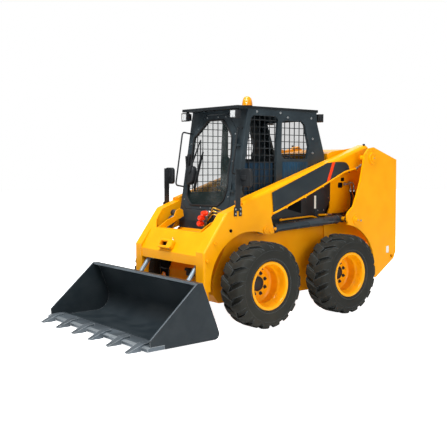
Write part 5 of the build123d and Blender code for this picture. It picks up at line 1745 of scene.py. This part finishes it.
cleaner_line = [(-0.150, 0.0), (-0.150, 0.050), (-0.144, 0.056), (-0.110, 0.057), (-0.106, 0.060),
                (-0.098, 0.060), (-0.094, 0.057), (0.060, 0.057), (0.064, 0.0605), (0.074, 0.0605),
                (0.078, 0.057), (0.140, 0.054), (0.150, 0.046), (0.150, 0.0)]
cleaner = turned(cleaner_line, at(0.175, 0.860, 1.362), (0, 1, 0))
inlet = tube([at(0.175, 1.005, 1.362), at(0.175, 1.040, 1.362), at(0.120, 1.048, 1.340),
              at(0.050, 1.000, 1.322)], 0.022, bend=0.03)
settle([cleaner, inlet], "air_cleaner", plastic)

core = [block(at(-0.300, 1.215, 0.640), at(0.300, 1.255, 1.260), width=0.004)]
for index in range(30):
    x = -0.290 + index * 0.020
    core.append(block(at(x - 0.0035, 1.2095, 0.650), at(x + 0.0035, 1.2605, 1.250), width=0.0012))
settle(core, "radiator_core", bare_fins)
tanks = [block(at(-0.310, 1.205, 1.258), at(0.310, 1.265, 1.312), width=0.014, segments=4),
         block(at(-0.310, 1.205, 0.590), at(0.310, 1.265, 0.642), width=0.014, segments=4)]
tanks += [block(at(x - 0.008, 1.208, 0.630), at(x + 0.008, 1.262, 1.270), width=0.003)
          for x in (-0.308, 0.308)]
settle(tanks, "radiator_tanks", black_iron)
fan_mid = at(0.0, 1.120, 0.950)
fan_hub = [(-0.030, 0.0), (-0.030, 0.050), (-0.024, 0.056), (0.020, 0.056), (0.030, 0.046), (0.032, 0.0)]
fan = [turned(fan_hub, fan_mid, (0, 1, 0), steps=36)]
fan_blade = [(0.030, -0.022, 0.045), (0.052, -0.024, 0.230), (0.020, -0.010, 0.250), (-0.036, 0.014, 0.235),
             (-0.026, 0.018, 0.050)]
first = plate([fan_mid + Vector(spot) for spot in fan_blade], (0.0, 0.004, 0.0))
for index in range(6):
    around = (Matrix.Translation(fan_mid) @ Matrix.Rotation(math.tau / 6 * index, 4, "Y")
              @ Matrix.Translation(-fan_mid))
    fan.append(copy_moved(first, around))
bpy.data.objects.remove(first)
settle(fan, "cooling_fan", plastic)
print("engine bay fitted")

# %% [markdown]
# ## Camera, floor and light
#
# The machine is seen from its front left corner, from about head height, through a long
# lens. Light is plain and soft: a broad key from high in front, two weak fills and a
# pale world. The floor's white comes from its own colour, so the paint isn't washed out.

# %% Camera
camera_at = at(5.8049, -5.2482, 1.5592)
heading, dip, roll = math.radians(50.285), math.radians(4.770), math.radians(0.106)
ahead = Vector((-math.sin(heading) * math.cos(dip), math.cos(heading) * math.cos(dip), -math.sin(dip)))
level = Vector((math.cos(heading), math.sin(heading), 0.0))
upright = level.cross(ahead)
to_right = level * math.cos(roll) + upright * math.sin(roll)
to_top = upright * math.cos(roll) - level * math.sin(roll)
turn = Matrix((to_right, to_top, -ahead)).transposed().to_4x4()
lens_data = bpy.data.cameras.new("view")
lens_data.sensor_width = 36.0
lens_data.lens = 59.54
lens_data.clip_end = 200.0
camera = bpy.data.objects.new("view", lens_data)
camera.matrix_world = Matrix.Translation(camera_at) @ turn
bpy.context.scene.collection.objects.link(camera)
bpy.context.scene.camera = camera
print("camera", [round(v, 3) for v in camera.location])


# %% Floor
def stage_white(name, strength):
    """White for the camera, an ordinary matt floor for all other light."""
    material = bpy.data.materials.new(name)
    material.use_nodes = True
    tree = material.node_tree
    shader = tree.nodes["Principled BSDF"]
    shader.inputs["Base Color"].default_value = (0.94, 0.94, 0.94, 1.0)
    shader.inputs["Roughness"].default_value = 0.9
    shader.inputs["Specular IOR Level"].default_value = 0.0
    shader.inputs["Emission Color"].default_value = (1.0, 1.0, 1.0, 1.0)
    seen = tree.nodes.new("ShaderNodeLightPath")
    link(tree, maths(tree, "MULTIPLY", seen.outputs["Is Camera Ray"], strength),
         shader.inputs["Emission Strength"])
    return material


calm()
bpy.ops.mesh.primitive_plane_add(size=60.0, location=(0.0, 0.0, 0.0))
floor = bpy.context.object
floor.name = "floor"
floor.data.materials.append(stage_white("floor_white", 1.0))


# %% Light
def soft_lamp(name, place, aim, size, watts):
    """Square area lamp at a place, aimed at a point."""
    data = bpy.data.lights.new(name, "AREA")
    data.shape = "SQUARE"
    data.size = size
    data.energy = watts
    lamp = bpy.data.objects.new(name, data)
    turn_to = (aim - place).to_track_quat("-Z", "Y").to_matrix().to_4x4()
    lamp.matrix_world = Matrix.Translation(place) @ turn_to
    bpy.context.scene.collection.objects.link(lamp)


centre_of_machine = at(0.0, 0.0, 1.0)
soft_lamp("key", Vector((1.5, -4.5, 9.5)), centre_of_machine, 4.0, 1300.0)
soft_lamp("side_fill", Vector((8.5, -0.5, 3.8)), centre_of_machine, 5.0, 255.0)
soft_lamp("back_fill", Vector((-5.0, 6.0, 6.0)), centre_of_machine, 5.0, 120.0)

world = bpy.data.worlds.new("pale")
bpy.context.scene.world = world
world.use_nodes = True
sky = world.node_tree
background = sky.nodes["Background"]
seen = sky.nodes.new("ShaderNodeLightPath")
sight = maths(sky, "ADD", seen.outputs["Is Camera Ray"], seen.outputs["Is Transmission Ray"], clamp=True)
background.inputs["Color"].default_value = (1.0, 1.0, 1.0, 1.0)
link(sky, maths(sky, "ADD", maths(sky, "MULTIPLY", sight, 0.66), 0.34), background.inputs["Strength"])
bpy.context.scene.view_settings.view_transform = "Standard"
print("lit by 3 lamps and a pale world")

# %% [markdown]
# ## Count and finish
#
# The pieces made are counted.

# %% Count of pieces, and the end
print(len(made), "pieces made")
